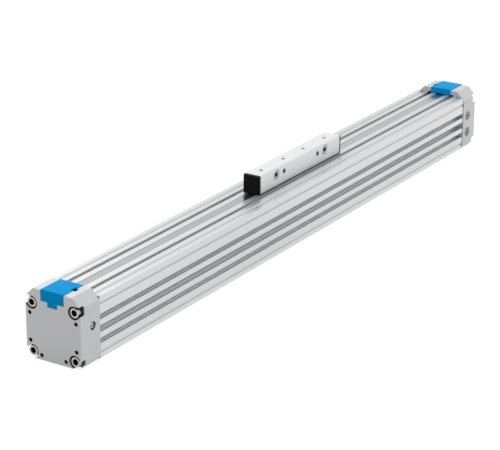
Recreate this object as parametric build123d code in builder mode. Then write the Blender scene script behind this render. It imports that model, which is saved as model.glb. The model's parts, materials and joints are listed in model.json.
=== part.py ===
from build123d import *
import os
from math import sqrt

# Rodless pneumatic cylinder: a slotted barrel, a piston whose neck comes out of the slot to carry a
# driver block, and two steel bands that close the slot in front of the neck and behind it.
# Millimetres. X runs along the barrel, the visible side faces -Y and Z is up. The origin is on the
# ground under the middle of the barrel. Everything on the left end cap is made once and turned half
# a turn about Z for the right one, as the real parts are.

# What the cylinder is made for
stroke = 500.0
piston_diameter = 32.0
carriage_rest = 26.0          # where the carriage stands, from the middle of the barrel
end_gap = 1.0                 # left between piston and cap at each end of the stroke

# End caps
cap_length = 29.5
cap_width = 63.0
cap_rise = 6.5                # how far the caps stand above the barrel
cap_top_chamfer = 9.4
cap_base_chamfer = 4.0
cap_edge_chamfer = 0.6
boss_length = 8.0             # what centres the cap in the bore
boss_clearance = 0.1
groove_relief_length = 4.0    # how far the barrel's guide grooves run on into a cap
groove_relief_rise = 1.7      # and how far that opening rises above the barrel

# Barrel section
barrel_inset = 0.6            # how far the barrel stands inside the sides and base of the caps
barrel_top = 63.5
barrel_top_chamfer = 3.4
barrel_base_radius = 3.0
bore_height = 37.5
slot_width = 7.2
cover_seat_depth = 0.8
seat_side_clearance = 0.2
guide_groove_offset = 14.2
guide_groove_width = 4.8
guide_groove_depth = 3.2
top_flute_inset = 6.9         # from the barrel's side to the middle of the flute
top_flute_width = 4.6
top_flute_depth = 0.8
side_flute_width = 3.8
side_flute_depth = 0.9
side_flute_heights = (55.0, 6.9)
t_slot_distance = 11.8        # from the nut slot's middle to a T-slot's, up and down
t_slot_mouth = 5.0
t_slot_lip = 1.8
t_slot_inner_width = 8.2
t_slot_depth = 6.4
nut_slot_height = 30.4
nut_slot_mouth = 6.4
nut_slot_lip = 2.2
nut_slot_inner_width = 10.0
nut_slot_depth = 7.6
slot_edge_bevel = 0.7
base_slot_offset = 11.5
air_channel_offset = 10.0
air_channel_height = 15.0
air_channel_diameter = 8.0

# Bands
cover_band_width = 10.0
cover_band_thickness = 0.4
sealing_band_width = 9.2
sealing_band_thickness = 1.0
band_gap = 0.1                # between a band and the seat it lies on
band_bend_radius = 26.0
cover_ramp_start = 2.5        # from the flange's end to the cover band's upper corner
cover_ramp_length = 14.0
sealing_ramp_start = 3.0      # from the neck's end to the inner band's lower corner
sealing_ramp_length = 15.5
ramp_spare = 7.0              # from the inner band's upper corner to the piston head
magnet_width = 1.0
magnet_height = 1.6
magnet_wall = 0.5             # barrel left between the slot and the magnet strip

# Piston and yoke
piston_clearance = 0.15       # radial, piston head in bore
yoke_clearance = 0.4          # radial, yoke in bore
neck_clearance = 0.4          # each side of the neck in the slot
neck_length = 104.0
head_length = 24.0
tunnel_floor_drop = 7.6       # from the bore's centre up to the inner band's tunnel
tunnel_height = 2.2
tunnel_clearance = 0.4        # each side of the inner band
seal_width = 4.0
seal_depth = 3.0
wear_ring_width = 4.0
wear_ring_depth = 1.6
magnet_ring_width = 4.0
magnet_ring_depth = 3.4
running_fit = 0.05            # radial, a sliding ring in the bore
ring_land = 2.8               # piston left beside each groove
seal_side_gap = 0.1           # each side of a ring in its groove
seal_lip = 0.8
seal_hollow_taper = 12.0      # degrees
wear_ring_split = 1.2
magnet_sink = 0.5             # how far the magnet lies below the piston's surface
head_edge = 0.5
head_screw_length = 18.0
head_screw_spare = 2.0        # thread left below the screw's end
guide_drop = 1.0              # from the bore's top down to the inner band's guide
guide_inset = 5.0

# Driver
driver_width = 19.6
driver_height = 19.7
driver_lift = 1.4             # from the barrel's top to the driver block
driver_reach = 5.3            # from where the cover band lands to the block's end
driver_edge = 0.5
plate_thickness = 2.4
plate_lift = 0.4
plate_drop = 0.9              # from the driver's top down to the plates
strip_gap = 0.3               # over the barrel, for the strips and the cover band guides
strip_inset = 0.1             # from the flange's pocket to a strip
flange_half_width = 7.8
flange_height = 4.4
flange_overhang = 6.0         # how far the flange passes the neck at each end
band_tunnel_height = 1.9
fit_gap = 0.2                 # between yoke and driver block
lug_thickness = 1.8
lug_length = 16.0
lug_inset = 1.1               # from the flange's end to a lug
lug_rim = 1.1                 # above the screw's hole in a lug

# Holes in the driver
top_hole_spacings = (40.0, 127.0)
top_hole_depth = 10.0
side_hole_distance = 15.1     # from a side screw to the hole next to it
side_hole_diameter = 5.5
side_hole_drop = 7.9          # below the driver's top
side_screw_drop = 7.7
plate_peg_diameter = 3.0
plate_peg_length = 3.0
plate_peg_offset = 5.5
plate_peg_drop = 7.6
plate_edge = 0.4
cover_guide_foot = 3.9
cover_guide_toe_rise = 0.4     # over the guide's shallow first part
cover_guide_rise = 1.5
cover_guide_gap = 2.0
cover_guide_nose = 0.4
lug_lead = 0.8

# Screws and threads
m6_diameter = 6.0
m6_head_diameter = 10.0
m6_head_height = 6.0
m6_hex = 5.0
m5_core_diameter = 4.2
m5_mouth_diameter = 5.5
m6_rim = 0.5
m6_low_head_height = 4.0
m6_low_hex = 4.0
m3_diameter = 3.0
m3_head_diameter = 5.5
m3_head_height = 2.0
m3_hex = 2.0
hole_clearance = 0.2
cap_screw_inset = 7.2         # from the cap's side
cap_screw_drop = 8.1          # below the barrel's top
cap_screw_rise = 7.1          # above the ground
cap_screw_length = 40.0
pocket_radius = 6.65
pocket_depth = 6.7
end_hole_inset = 5.1          # from the cap's side
end_hole_distance = 10.35     # down from an upper cap screw, up from a lower one
base_hole_offset = 14.0
base_hole_height = 4.9
end_hole_depth = 10.0
driver_screw_diameter = 6.0
driver_screw_head = 11.4
driver_screw_length = 14.0
driver_screw_hex = 4.0
driver_screw_sink = 0.3
driver_screw_spare = 0.7      # left below the screw's end

# Ports and cushioning
port_distance = 18.8          # from the outer face of the cap
upper_port_rise = 2.2         # above the bore's centre
lower_port_rise = 4.6         # above the air channel
port_core_diameter = 8.8
port_face_diameter = 11.8
port_face_depth = 0.7
port_thread_depth = 10.0
passage_diameter = 6.0        # from a port to the chamber or to an air channel
plug_length = 6.0
plug_hex = 5.0
plug_sink = 1.4
chamber_diameter = 9.0
spigot_diameter = 12.0
spigot_bore = 6.0
spigot_seat = 12.0
spigot_reach = 12.0
spigot_fit = 0.02
spigot_lead = 1.0
bypass_diameter = 2.6
feed_diameter = 2.0           # small passage from the boss's face to the adjusting screw
feed_wall = 0.7               # left between that passage and the O-ring groove
cushion_clearance = 0.3
cushion_bore_depth = 17.0
cushion_seal_start = 2.0
cushion_seal_width = 3.0
cushion_seal_depth = 1.6
needle_rise = 0.9             # above the bore's centre
needle_recess_diameter = 8.4
needle_recess_depth = 4.6
needle_diameter = 6.0
needle_fit = 0.05
needle_head_diameter = 5.2
needle_head_sink = 0.8
needle_length = 15.0
needle_slot = 1.0
needle_slot_depth = 1.4
needle_point = 1.4

# Blue covers and band clamps
cover_clearance = 0.15
cover_proud = 0.8
cover_wall = 1.6
cover_tab_half_width = 5.6
cover_tab_drop = 4.7
release_slot_length = 6.2
release_slot_reach = 2.6      # into the cover, and as far into the cap beside it
release_slot_distance = 17.4
release_slot_depth = 5.0
cover_edge = 0.3
band_mouth = 1.6              # height of the opening above the cover band
clamp_length = 10.0
clamp_inset = 4.0             # from the cap's inner face to the clamp
clamp_bar_height = 2.4
clamp_leg_width = 5.4
clamp_leg_height = 4.0        # from the cover's seat up to the cover band's upper face
clamp_side_gap = 0.4
clamp_screw_length = 12.0
band_spare = 2.0              # what each band has left behind its clamp

# Seals
o_ring_groove_width = 2.6
o_ring_groove_depth = 1.6
channel_seal_diameter = 12.0
channel_seal_thickness = 1.2

# Worked out from the values above
bore_radius = piston_diameter / 2
ramp_length = sealing_ramp_start + sealing_ramp_length + ramp_spare
piston_length = neck_length + 2 * (ramp_length + head_length)
barrel_length = stroke + piston_length + 2 * (boss_length + end_gap)
total_length = barrel_length + 2 * cap_length
cap_outer = -total_length / 2
cap_inner = -barrel_length / 2
cap_height = barrel_top + cap_rise
cap_side = cap_width / 2
boss_face = cap_inner + boss_length
boss_groove_start = cap_inner + (boss_length - o_ring_groove_width) / 2
boss_groove_radius = bore_radius - boss_clearance - o_ring_groove_depth
barrel_width = cap_width - 2 * barrel_inset
barrel_side = barrel_width / 2
head_radius = bore_radius - piston_clearance
yoke_radius = bore_radius - yoke_clearance
cushion_radius = spigot_diameter / 2 + cushion_clearance

cover_seat = barrel_top - cover_seat_depth
cover_band_height = cover_seat + band_gap + cover_band_thickness / 2
sealing_band_height = bore_height + bore_radius + band_gap + sealing_band_thickness / 2
sealing_seat_top = sealing_band_height + sealing_band_thickness / 2 + seat_side_clearance
magnet_offset = slot_width / 2 + magnet_wall + magnet_width / 2
tunnel_floor = bore_height + tunnel_floor_drop
tunnel_roof = tunnel_floor + tunnel_height
tunnel_half_width = sealing_band_width / 2 + tunnel_clearance
tunnel_band_height = tunnel_floor + tunnel_height / 2

ramp_start = neck_length / 2 + ramp_length
head_face = -piston_length / 2
neck_half_width = slot_width / 2 - neck_clearance
yoke_beam_top = tunnel_floor - yoke_clearance
driver_base = barrel_top + driver_lift
driver_top = driver_base + driver_height
flange_top = driver_base + flange_height
flange_half_length = neck_length / 2 + flange_overhang
block_half_length = flange_half_length + cover_ramp_start + cover_ramp_length + driver_reach
driver_half_length = block_half_length + plate_thickness
driver_tunnel_roof = flange_top + band_tunnel_height
driver_tunnel_half_width = cover_band_width / 2 + tunnel_clearance * 2
driver_band_height = flange_top + band_tunnel_height / 2
lug_offset = flange_half_width - lug_thickness / 2
lug_distance = flange_half_length - lug_inset - lug_length / 2
lug_places = [(x * lug_distance, y * lug_offset) for x in (-1, 1) for y in (-1, 1)]
side_screw_height = driver_top - side_screw_drop
lug_top_height = side_screw_height + driver_screw_diameter / 2 + lug_rim
strip_width = driver_width / 2 - flange_half_width - fit_gap - strip_inset
cover_guide_base = barrel_top + strip_gap

seal_start = ring_land
wear_ring_start = seal_start + seal_width + ring_land
magnet_ring_start = wear_ring_start + wear_ring_width + ring_land
head_grooves = (
    (seal_start, seal_width, seal_depth),
    (wear_ring_start, wear_ring_width, wear_ring_depth),
    (magnet_ring_start, magnet_ring_width, magnet_ring_depth),
)

t_slot_heights = (nut_slot_height + t_slot_distance, nut_slot_height - t_slot_distance)
cap_screw_offset = cap_side - cap_screw_inset
cap_screw_heights = (barrel_top - cap_screw_drop, cap_screw_rise)
cap_screw_places = [(y, z) for y in (-cap_screw_offset, cap_screw_offset) for z in cap_screw_heights]
end_hole_offset = cap_side - end_hole_inset
end_hole_heights = (cap_screw_heights[0] - end_hole_distance, cap_screw_heights[1] + end_hole_distance)
end_hole_places = [(y, z) for y in (-end_hole_offset, end_hole_offset) for z in end_hole_heights]
end_hole_places += [(-base_hole_offset, base_hole_height), (base_hole_offset, base_hole_height)]
channel_places = [(side * air_channel_offset, air_channel_height) for side in (-1, 1)]
top_hole_places = [(side * spacing / 2, 0) for side in (-1, 1) for spacing in top_hole_spacings]
driver_screw_offsets = (-lug_distance, lug_distance)
driver_screw_places = [(x, side_screw_height) for x in driver_screw_offsets]
driver_screw_hole_depth = driver_screw_sink + driver_screw_length + driver_screw_spare
side_hole_offset = lug_distance - side_hole_distance
side_hole_places = [(side * side_hole_offset, driver_top - side_hole_drop) for side in (-1, 1)]
plate_peg_places = [(side * plate_peg_offset, driver_top - plate_peg_drop) for side in (-1, 1)]
head_thread_depth = head_screw_length - (head_length - cushion_bore_depth) + head_screw_spare

port_x = cap_outer + port_distance
port_heights = (bore_height + upper_port_rise, air_channel_height + lower_port_rise)
needle_height = bore_height + needle_rise
feed_offset = boss_groove_radius - feed_diameter / 2 - feed_wall
chamber_length = cap_inner - port_x + boss_length - spigot_seat + port_core_diameter / 2
clamp_start = cap_inner - clamp_inset - clamp_length
clamp_middle = clamp_start + clamp_length / 2
band_end = barrel_length / 2 + clamp_inset + clamp_length + band_spare
clamp_bar_base = cover_band_height + cover_band_thickness / 2
cover_seat_height = clamp_bar_base - clamp_leg_height
clamp_leg_middle = cover_tab_half_width + fit_gap + clamp_leg_width / 2
clamp_half_width = clamp_leg_middle + clamp_leg_width / 2
cover_half_width = clamp_half_width + clamp_side_gap + cover_wall
clamp_screw_places = [(clamp_middle, side * clamp_leg_middle) for side in (-1, 1)]
cover_height = cap_height + cover_proud - cover_seat_height

sealing_guide_crest = neck_length / 2 + sealing_ramp_start + sealing_ramp_length
sealing_guide_top = bore_height + bore_radius - band_gap - guide_drop
sealing_guide_foot = neck_length / 2 + sealing_ramp_start + guide_inset
sealing_guide_half_width = sealing_band_width / 2 - fit_gap

os.makedirs("parts", exist_ok=True)


def across(x):
    """A sketch plane square to the barrel at x: its own axes are the object's Y and Z."""
    return Plane.YZ.offset(x)


def facing(side, distance):
    """A plane on the -Y or +Y side that looks outwards, with Z as its second axis."""
    return Plane(origin=(0, side * distance, 0), x_dir=(-side, 0, 0), z_dir=(0, side, 0))


def screw_mouth(x):
    """Where a side screw of the driver enters its front, looking outwards."""
    return Location(Plane(origin=(x, -driver_width / 2, side_screw_height), z_dir=(0, -1, 0)))


def screw_cone(depth):
    """The cone of a side screw's head where it lies this deep, or its whole seat at depth 0."""
    wide = driver_screw_head / 2 + driver_screw_sink - depth
    narrow = driver_screw_diameter / 2
    with BuildPart() as cone:
        with Locations((0, 0, -depth)):
            Cone(narrow, wide, wide - narrow, align=(Align.CENTER, Align.CENTER, Align.MAX))
    return cone.part


def save(part, name):
    """Names a finished piece and writes it as parts/name.step."""
    part.label = name
    export_step(part, f"parts/{name}.step")


def turned(part):
    """The same piece at the right end: half a turn about the vertical through the middle."""
    return part.rotate(Axis.Z, 180)


def save_pair(part, name):
    """Writes the left piece and the same piece turned for the right end."""
    save(part, f"left_{name}")
    save(turned(part), f"right_{name}")


def mirrored_pair(part, name):
    """Writes a piece of the carriage and its mirror image, both moved to the carriage's rest."""
    save(on_carriage(part), f"left_{name}")
    save(on_carriage(part.mirror(Plane.YZ)), f"right_{name}")


def on_carriage(part):
    """A piece modelled about the carriage's middle, moved to where the carriage rests."""
    return part.moved(Location((carriage_rest, 0, 0)))


def flute_section(width, depth):
    """A shallow round groove that opens towards +X of its own sketch, with its mouth at the origin."""
    radius = (width**2 / 4 + depth**2) / (2 * depth)
    with BuildSketch() as section:
        with Locations((radius - depth, 0)):
            Circle(radius)
    return section.sketch


def slot_section(mouth, lip, inner_width, depth, bevel):
    """Outline of a T-slot that opens towards +X of its own sketch, with its mouth at the origin."""
    with BuildSketch() as section:
        with BuildLine():
            Polyline(
                (1, mouth / 2 + bevel),
                (0, mouth / 2 + bevel),
                (-bevel, mouth / 2),
                (-lip, mouth / 2),
                (-lip, inner_width / 2),
                (-depth + bevel, inner_width / 2),
                (-depth, inner_width / 2 - bevel),
                (-depth, 0),
                (1, 0),
                close=True,
            )
        make_face()
        mirror(about=Plane.XZ)
    return section.sketch


# Barrel
t_slot = slot_section(t_slot_mouth, t_slot_lip, t_slot_inner_width, t_slot_depth, slot_edge_bevel)
top_flute = flute_section(top_flute_width, top_flute_depth)
side_flute = flute_section(side_flute_width, side_flute_depth)
nut_slot = slot_section(nut_slot_mouth, nut_slot_lip, nut_slot_inner_width, nut_slot_depth, slot_edge_bevel)
barrel_height = barrel_top - barrel_inset
bore_entry = sqrt(bore_radius**2 - (sealing_band_width / 2 + seat_side_clearance) ** 2) - 1

with BuildPart() as barrel:
    with BuildSketch(across(cap_inner)):
        with Locations((0, barrel_inset + barrel_height / 2)):
            body = Rectangle(barrel_width, barrel_height)
        corners = body.vertices().sort_by(Axis.Y)
        fillet(corners[:2], barrel_base_radius)
        chamfer(corners[2:], barrel_top_chamfer)
        with Locations((0, bore_height)):
            Circle(bore_radius, mode=Mode.SUBTRACT)
        seat_base = bore_height + bore_entry
        with Locations((0, (seat_base + sealing_seat_top) / 2)):
            seat_width = sealing_band_width + 2 * seat_side_clearance
            Rectangle(seat_width, sealing_seat_top - seat_base, mode=Mode.SUBTRACT)
        with Locations((0, (bore_height + barrel_top) / 2 + 1)):
            Rectangle(slot_width, barrel_top - bore_height + 2, mode=Mode.SUBTRACT)
        with Locations((0, barrel_top)):
            seat_width = cover_band_width + 2 * seat_side_clearance
            Rectangle(seat_width, 2 * cover_seat_depth, mode=Mode.SUBTRACT)
        for side in (-1, 1):
            with Locations((side * guide_groove_offset, barrel_top)):
                Rectangle(guide_groove_width, 2 * guide_groove_depth, mode=Mode.SUBTRACT)
            top_flute_offset = side * (barrel_side - top_flute_inset)
            with Locations(Location((top_flute_offset, barrel_top, 0), (0, 0, 90))):
                add(top_flute, mode=Mode.SUBTRACT)
            with Locations((side * magnet_offset, cover_seat - magnet_height / 2)):
                Rectangle(magnet_width, magnet_height, mode=Mode.SUBTRACT)
            with Locations((side * air_channel_offset, air_channel_height)):
                Circle(air_channel_diameter / 2, mode=Mode.SUBTRACT)
            turn = (0, 0, 0) if side > 0 else (0, 0, 180)
            for height in t_slot_heights:
                with Locations(Location((side * barrel_side, height, 0), turn)):
                    add(t_slot, mode=Mode.SUBTRACT)
            with Locations(Location((side * barrel_side, nut_slot_height, 0), turn)):
                add(nut_slot, mode=Mode.SUBTRACT)
            with Locations(Location((side * base_slot_offset, barrel_inset, 0), (0, 0, -90))):
                add(t_slot, mode=Mode.SUBTRACT)
            for height in side_flute_heights:
                with Locations(Location((side * barrel_side, height, 0), turn)):
                    add(side_flute, mode=Mode.SUBTRACT)
        with Locations(*cap_screw_places):
            Circle(m6_diameter / 2 + hole_clearance / 2, mode=Mode.SUBTRACT)
    extrude(amount=barrel_length)
save(barrel.part, "barrel_profile")

# Magnet strips in the barrel, beside the slot
with BuildPart() as band_magnets:
    with BuildSketch(across(cap_inner)):
        with Locations(*[(side * magnet_offset, cover_seat - magnet_height / 2) for side in (-1, 1)]):
            Rectangle(magnet_width, magnet_height)
    extrude(amount=barrel_length)
save(band_magnets.part, "band_magnets")


def band(width, thickness, seat, lifted, near, ramp):
    """A band on its seat, led to another height inside the carriage: to near on both sides of it."""
    far = near + ramp
    path = [
        (-band_end, seat),
        (carriage_rest - far, seat),
        (carriage_rest - near, lifted),
        (carriage_rest + near, lifted),
        (carriage_rest + far, seat),
        (band_end, seat),
    ]
    with BuildPart() as strip:
        with BuildLine(Plane.XZ):
            FilletPolyline(*path, radius=band_bend_radius)
        with BuildSketch(across(-band_end)):
            with Locations((0, seat)):
                Rectangle(width, thickness)
        sweep()
    return strip.part


save(
    band(
        cover_band_width,
        cover_band_thickness,
        cover_band_height,
        driver_band_height,
        flange_half_length + cover_ramp_start,
        cover_ramp_length,
    ),
    "cover_band",
)
save(
    band(
        sealing_band_width,
        sealing_band_thickness,
        sealing_band_height,
        tunnel_band_height,
        neck_length / 2 + sealing_ramp_start,
        sealing_ramp_length,
    ),
    "sealing_band",
)


# End cap
def pocket_outline():
    """Corner pockets of the cap screws: each is round, with a way out to the nearest corner."""
    high, low = max(cap_screw_heights), min(cap_screw_heights)
    slant = pocket_radius * sqrt(0.5)
    with BuildSketch() as outline:
        with Locations(*cap_screw_places):
            Circle(pocket_radius)
        for side in (-1, 1):
            inner, outer = side * (cap_screw_offset - slant), side * (cap_screw_offset + slant)
            # the upper way out is level above and slants below
            with BuildLine():
                Polyline(
                    (side * cap_screw_offset, high + pocket_radius),
                    (outer + side * (pocket_radius + slant), high + pocket_radius),
                    (outer, high - slant),
                    close=True,
                )
            make_face()
            # the lower one slants on both sides
            with BuildLine():
                Polyline(
                    (outer, low + slant),
                    (outer + side * cap_width, low + slant - cap_width),
                    (inner + side * cap_width, low - slant - cap_width),
                    (inner, low - slant),
                    close=True,
                )
            make_face()
    return outline.sketch


with BuildPart() as end_cap:
    with BuildSketch(across(cap_outer)):
        with Locations((0, cap_height / 2)):
            face = Rectangle(cap_width, cap_height)
        corners = face.vertices().sort_by(Axis.Y)
        chamfer(corners[:2], cap_base_chamfer)
        chamfer(corners[2:], cap_top_chamfer)
    extrude(amount=cap_length)
    chamfer(end_cap.faces().sort_by(Axis.X)[0].edges(), cap_edge_chamfer)
    # boss that centres the cap in the bore, with its O-ring groove
    with BuildSketch(across(cap_inner)):
        with Locations((0, bore_height)):
            Circle(bore_radius - boss_clearance)
    extrude(amount=boss_length)
    with BuildSketch(across(boss_groove_start)):
        with Locations((0, bore_height)):
            Circle(bore_radius)
            Circle(boss_groove_radius, mode=Mode.SUBTRACT)
    extrude(amount=o_ring_groove_width, mode=Mode.SUBTRACT)
    # seat of the blue cover, and the pocket where both bands end
    with BuildSketch(across(cap_outer)):
        with Locations((0, cover_seat_height)):
            Rectangle(
                2 * (cover_half_width + cover_clearance),
                cap_height,
                align=(Align.CENTER, Align.MIN),
            )
        with Locations((0, cover_seat_height - cover_tab_drop)):
            Rectangle(
                2 * (cover_tab_half_width + cover_clearance),
                cap_height,
                align=(Align.CENTER, Align.MIN),
            )
    extrude(amount=cap_length, mode=Mode.SUBTRACT)
    with BuildSketch(across(cap_inner)):
        with Locations((0, sealing_band_height - sealing_band_thickness / 2 - seat_side_clearance)):
            Rectangle(
                2 * (cover_tab_half_width + cover_clearance),
                cover_tab_drop * 2,
                align=(Align.CENTER, Align.MIN),
            )
    extrude(amount=-(clamp_inset + clamp_length + band_spare + seat_side_clearance), mode=Mode.SUBTRACT)
    # openings in line with the barrel's guide grooves
    with BuildSketch(across(cap_inner)):
        relief_top = barrel_top + groove_relief_rise
        with Locations((-guide_groove_offset, relief_top), (guide_groove_offset, relief_top)):
            Rectangle(
                guide_groove_width,
                guide_groove_depth + groove_relief_rise,
                align=(Align.CENTER, Align.MAX),
            )
    extrude(amount=-groove_relief_length, mode=Mode.SUBTRACT)
    # half of the slot where a blade lifts the cover out
    with BuildSketch(Plane.XY.offset(cap_height)):
        with Locations((cap_outer + release_slot_distance, -cover_half_width)):
            Rectangle(release_slot_length, 2 * release_slot_reach)
    extrude(amount=-release_slot_depth, mode=Mode.SUBTRACT)
    # cap screws
    with BuildSketch(across(cap_outer)):
        add(pocket_outline())
    extrude(amount=pocket_depth, mode=Mode.SUBTRACT)
    with BuildSketch(across(cap_outer)):
        with Locations(*cap_screw_places):
            Circle(m6_diameter / 2 + hole_clearance)
    extrude(amount=cap_length, mode=Mode.SUBTRACT)
    # threaded holes in the end face
    with BuildSketch(across(cap_outer)):
        with Locations(*end_hole_places):
            Circle(m5_core_diameter / 2)
    extrude(amount=end_hole_depth, mode=Mode.SUBTRACT)
    # seat of the cushion spigot, and the chamber behind it
    with BuildSketch(across(boss_face)):
        with Locations((0, bore_height)):
            Circle(spigot_diameter / 2 + spigot_fit)
    extrude(amount=-spigot_seat, mode=Mode.SUBTRACT)
    with BuildSketch(across(boss_face - spigot_seat)):
        with Locations((0, bore_height)):
            Circle(chamber_diameter / 2)
    extrude(amount=-chamber_length, mode=Mode.SUBTRACT)
    # ports in the back of the left cap, which become the front of the right one
    with BuildSketch(facing(1, cap_side)):
        with Locations(*[(-port_x, height) for height in port_heights]):
            Circle(port_face_diameter / 2)
    extrude(amount=-port_face_depth, mode=Mode.SUBTRACT)
    with BuildSketch(facing(1, cap_side)):
        with Locations(*[(-port_x, height) for height in port_heights]):
            Circle(port_core_diameter / 2)
    extrude(amount=-port_thread_depth, mode=Mode.SUBTRACT)
    # the upper port leads to the chamber, the lower one to the air channel of the other cap
    with BuildSketch(facing(1, cap_side)):
        with Locations((-port_x, port_heights[0])):
            Circle(passage_diameter / 2)
    extrude(amount=-cap_side, mode=Mode.SUBTRACT)
    with BuildSketch(facing(1, cap_side)):
        with Locations((-port_x, port_heights[1])):
            Circle(passage_diameter / 2)
    extrude(amount=-(cap_side - air_channel_offset), mode=Mode.SUBTRACT)
    with BuildSketch(across(cap_inner)):
        with Locations(*channel_places):
            Circle(air_channel_diameter / 2)
    extrude(amount=port_x - cap_inner, mode=Mode.SUBTRACT)
    # the other air channel leads up to the chamber
    with BuildSketch(across(port_x - passage_diameter / 2)):
        with Locations((-air_channel_offset, air_channel_height), (0, bore_height)):
            Circle(passage_diameter / 2)
        make_hull()
    extrude(amount=passage_diameter, mode=Mode.SUBTRACT)
    # seats of the two channel seals
    with BuildSketch(across(cap_inner)):
        with Locations(*channel_places):
            Circle(channel_seal_diameter / 2 + fit_gap / 2)
    extrude(amount=-channel_seal_thickness, mode=Mode.SUBTRACT)
    # cushion adjusting screw in the front
    with BuildSketch(facing(-1, cap_side)):
        with Locations((port_x, needle_height)):
            Circle(needle_recess_diameter / 2)
    extrude(amount=-needle_recess_depth, mode=Mode.SUBTRACT)
    with BuildSketch(facing(-1, cap_side)):
        with Locations((port_x, needle_height)):
            Circle(needle_diameter / 2 + needle_fit)
    extrude(amount=-(needle_recess_depth + needle_length + fit_gap), mode=Mode.SUBTRACT)
    with BuildSketch(facing(-1, cap_side)):
        with Locations((port_x, needle_height)):
            Circle(bypass_diameter / 2)
    extrude(amount=-cap_side, mode=Mode.SUBTRACT)
    with BuildSketch(across(boss_face)):
        with Locations((-feed_offset, needle_height)):
            Circle(feed_diameter / 2)
    extrude(amount=port_x - boss_face, mode=Mode.SUBTRACT)
    # screw holes of the band clamp
    with BuildSketch(Plane.XY.offset(cover_seat_height)):
        with Locations(*clamp_screw_places):
            Circle(m3_diameter / 2 + hole_clearance / 2)
    extrude(amount=-(clamp_screw_length - clamp_leg_height + fit_gap), mode=Mode.SUBTRACT)
save_pair(end_cap.part, "end_cap")

# Cap screws: socket heads in their pockets, threads in the barrel
with BuildPart() as cap_screws:
    with BuildSketch(across(cap_outer + pocket_depth - m6_head_height)):
        with Locations(*cap_screw_places):
            Circle(m6_head_diameter / 2)
    extrude(amount=m6_head_height)
    rims = cap_screws.faces().filter_by(Axis.X).group_by(Axis.X)[0].edges()
    chamfer(rims, m6_rim)
    with BuildSketch(across(cap_outer + pocket_depth)):
        with Locations(*cap_screw_places):
            Circle(m6_diameter / 2)
    extrude(amount=cap_screw_length)
    with BuildSketch(across(cap_outer + pocket_depth - m6_head_height)):
        with Locations(*cap_screw_places):
            RegularPolygon(m6_hex / 2, 6, major_radius=False)
    extrude(amount=m6_head_height / 2, mode=Mode.SUBTRACT)
save_pair(cap_screws.part, "cap_screws")

# Cushion spigot, pressed into the boss
with BuildPart() as spigot:
    with BuildSketch(across(boss_face - spigot_seat)):
        with Locations((0, bore_height)):
            Circle(spigot_diameter / 2)
            Circle(spigot_bore / 2, mode=Mode.SUBTRACT)
    extrude(amount=spigot_seat + spigot_reach)
    tip = spigot.faces().sort_by(Axis.X)[-1].edges().sort_by(SortBy.LENGTH)[-1]
    chamfer(tip, spigot_lead)
save_pair(spigot.part, "cushion_spigot")

# Seals between cap and barrel
with BuildPart() as cap_seal:
    with BuildSketch(across(boss_groove_start + seal_side_gap)):
        with Locations((0, bore_height)):
            Circle(bore_radius - running_fit)
            Circle(boss_groove_radius + running_fit, mode=Mode.SUBTRACT)
    extrude(amount=o_ring_groove_width - 2 * seal_side_gap)
save_pair(cap_seal.part, "cap_seal")

with BuildPart() as channel_seals:
    with BuildSketch(across(cap_inner)):
        with Locations(*channel_places):
            Circle(channel_seal_diameter / 2)
        with Locations(*channel_places):
            Circle(air_channel_diameter / 2, mode=Mode.SUBTRACT)
    extrude(amount=-channel_seal_thickness)
save_pair(channel_seals.part, "channel_seals")

# Plugs in the ports that aren't used
with BuildPart() as port_plugs:
    with BuildSketch(facing(1, cap_side - plug_sink)):
        with Locations(*[(-port_x, height) for height in port_heights]):
            Circle(port_core_diameter / 2 - needle_fit)
    extrude(amount=-plug_length)
    with BuildSketch(facing(1, cap_side - plug_sink)):
        with Locations(*[(-port_x, height) for height in port_heights]):
            RegularPolygon(plug_hex / 2, 6, major_radius=False)
    extrude(amount=-plug_length / 2, mode=Mode.SUBTRACT)
save(port_plugs.part, "port_plugs")

# Cushion adjusting screw: slotted head in the recess, body in the thread, needle over the bypass
with BuildPart() as needle:
    with BuildSketch(facing(-1, cap_side - needle_head_sink)):
        with Locations((port_x, needle_height)):
            Circle(needle_head_diameter / 2)
    extrude(amount=-(needle_recess_depth - needle_head_sink))
    with BuildSketch(facing(-1, cap_side - needle_recess_depth)):
        with Locations((port_x, needle_height)):
            Circle(needle_diameter / 2)
    extrude(amount=-needle_length)
    tip = needle.faces().sort_by(Axis.Y)[-1].edges()
    chamfer(tip, needle_point)
    with BuildSketch(facing(-1, cap_side - needle_head_sink)):
        with Locations((port_x, needle_height)):
            Rectangle(needle_slot, needle_head_diameter * 2)
    extrude(amount=-needle_slot_depth, mode=Mode.SUBTRACT)
save_pair(needle.part, "cushion_screw")

# Band anchor on the inner band's end, and the bar that clamps the cover band on it
with BuildPart() as anchor:
    with BuildSketch(Plane.XY.offset(sealing_band_height + sealing_band_thickness / 2)):
        with Locations((clamp_middle, 0)):
            Rectangle(clamp_length, 2 * cover_tab_half_width)
    extrude(amount=clamp_bar_base - sealing_band_height - sealing_band_thickness / 2 - cover_band_thickness)
save_pair(anchor.part, "band_anchor")

with BuildPart() as clamp_bar:
    with BuildSketch(Plane.XY.offset(clamp_bar_base)):
        with Locations((clamp_middle, 0)):
            Rectangle(clamp_length, 2 * clamp_half_width)
    extrude(amount=clamp_bar_height)
    with BuildSketch(Plane.XY.offset(cover_seat_height)):
        with Locations(*clamp_screw_places):
            Rectangle(clamp_length, clamp_leg_width)
    extrude(amount=clamp_leg_height)
    with BuildSketch(Plane.XY.offset(clamp_bar_base + clamp_bar_height)):
        with Locations(*clamp_screw_places):
            Circle(m3_diameter / 2 + hole_clearance / 2)
    extrude(amount=-(clamp_bar_height + clamp_leg_height), mode=Mode.SUBTRACT)
save_pair(clamp_bar.part, "band_clamp")

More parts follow.
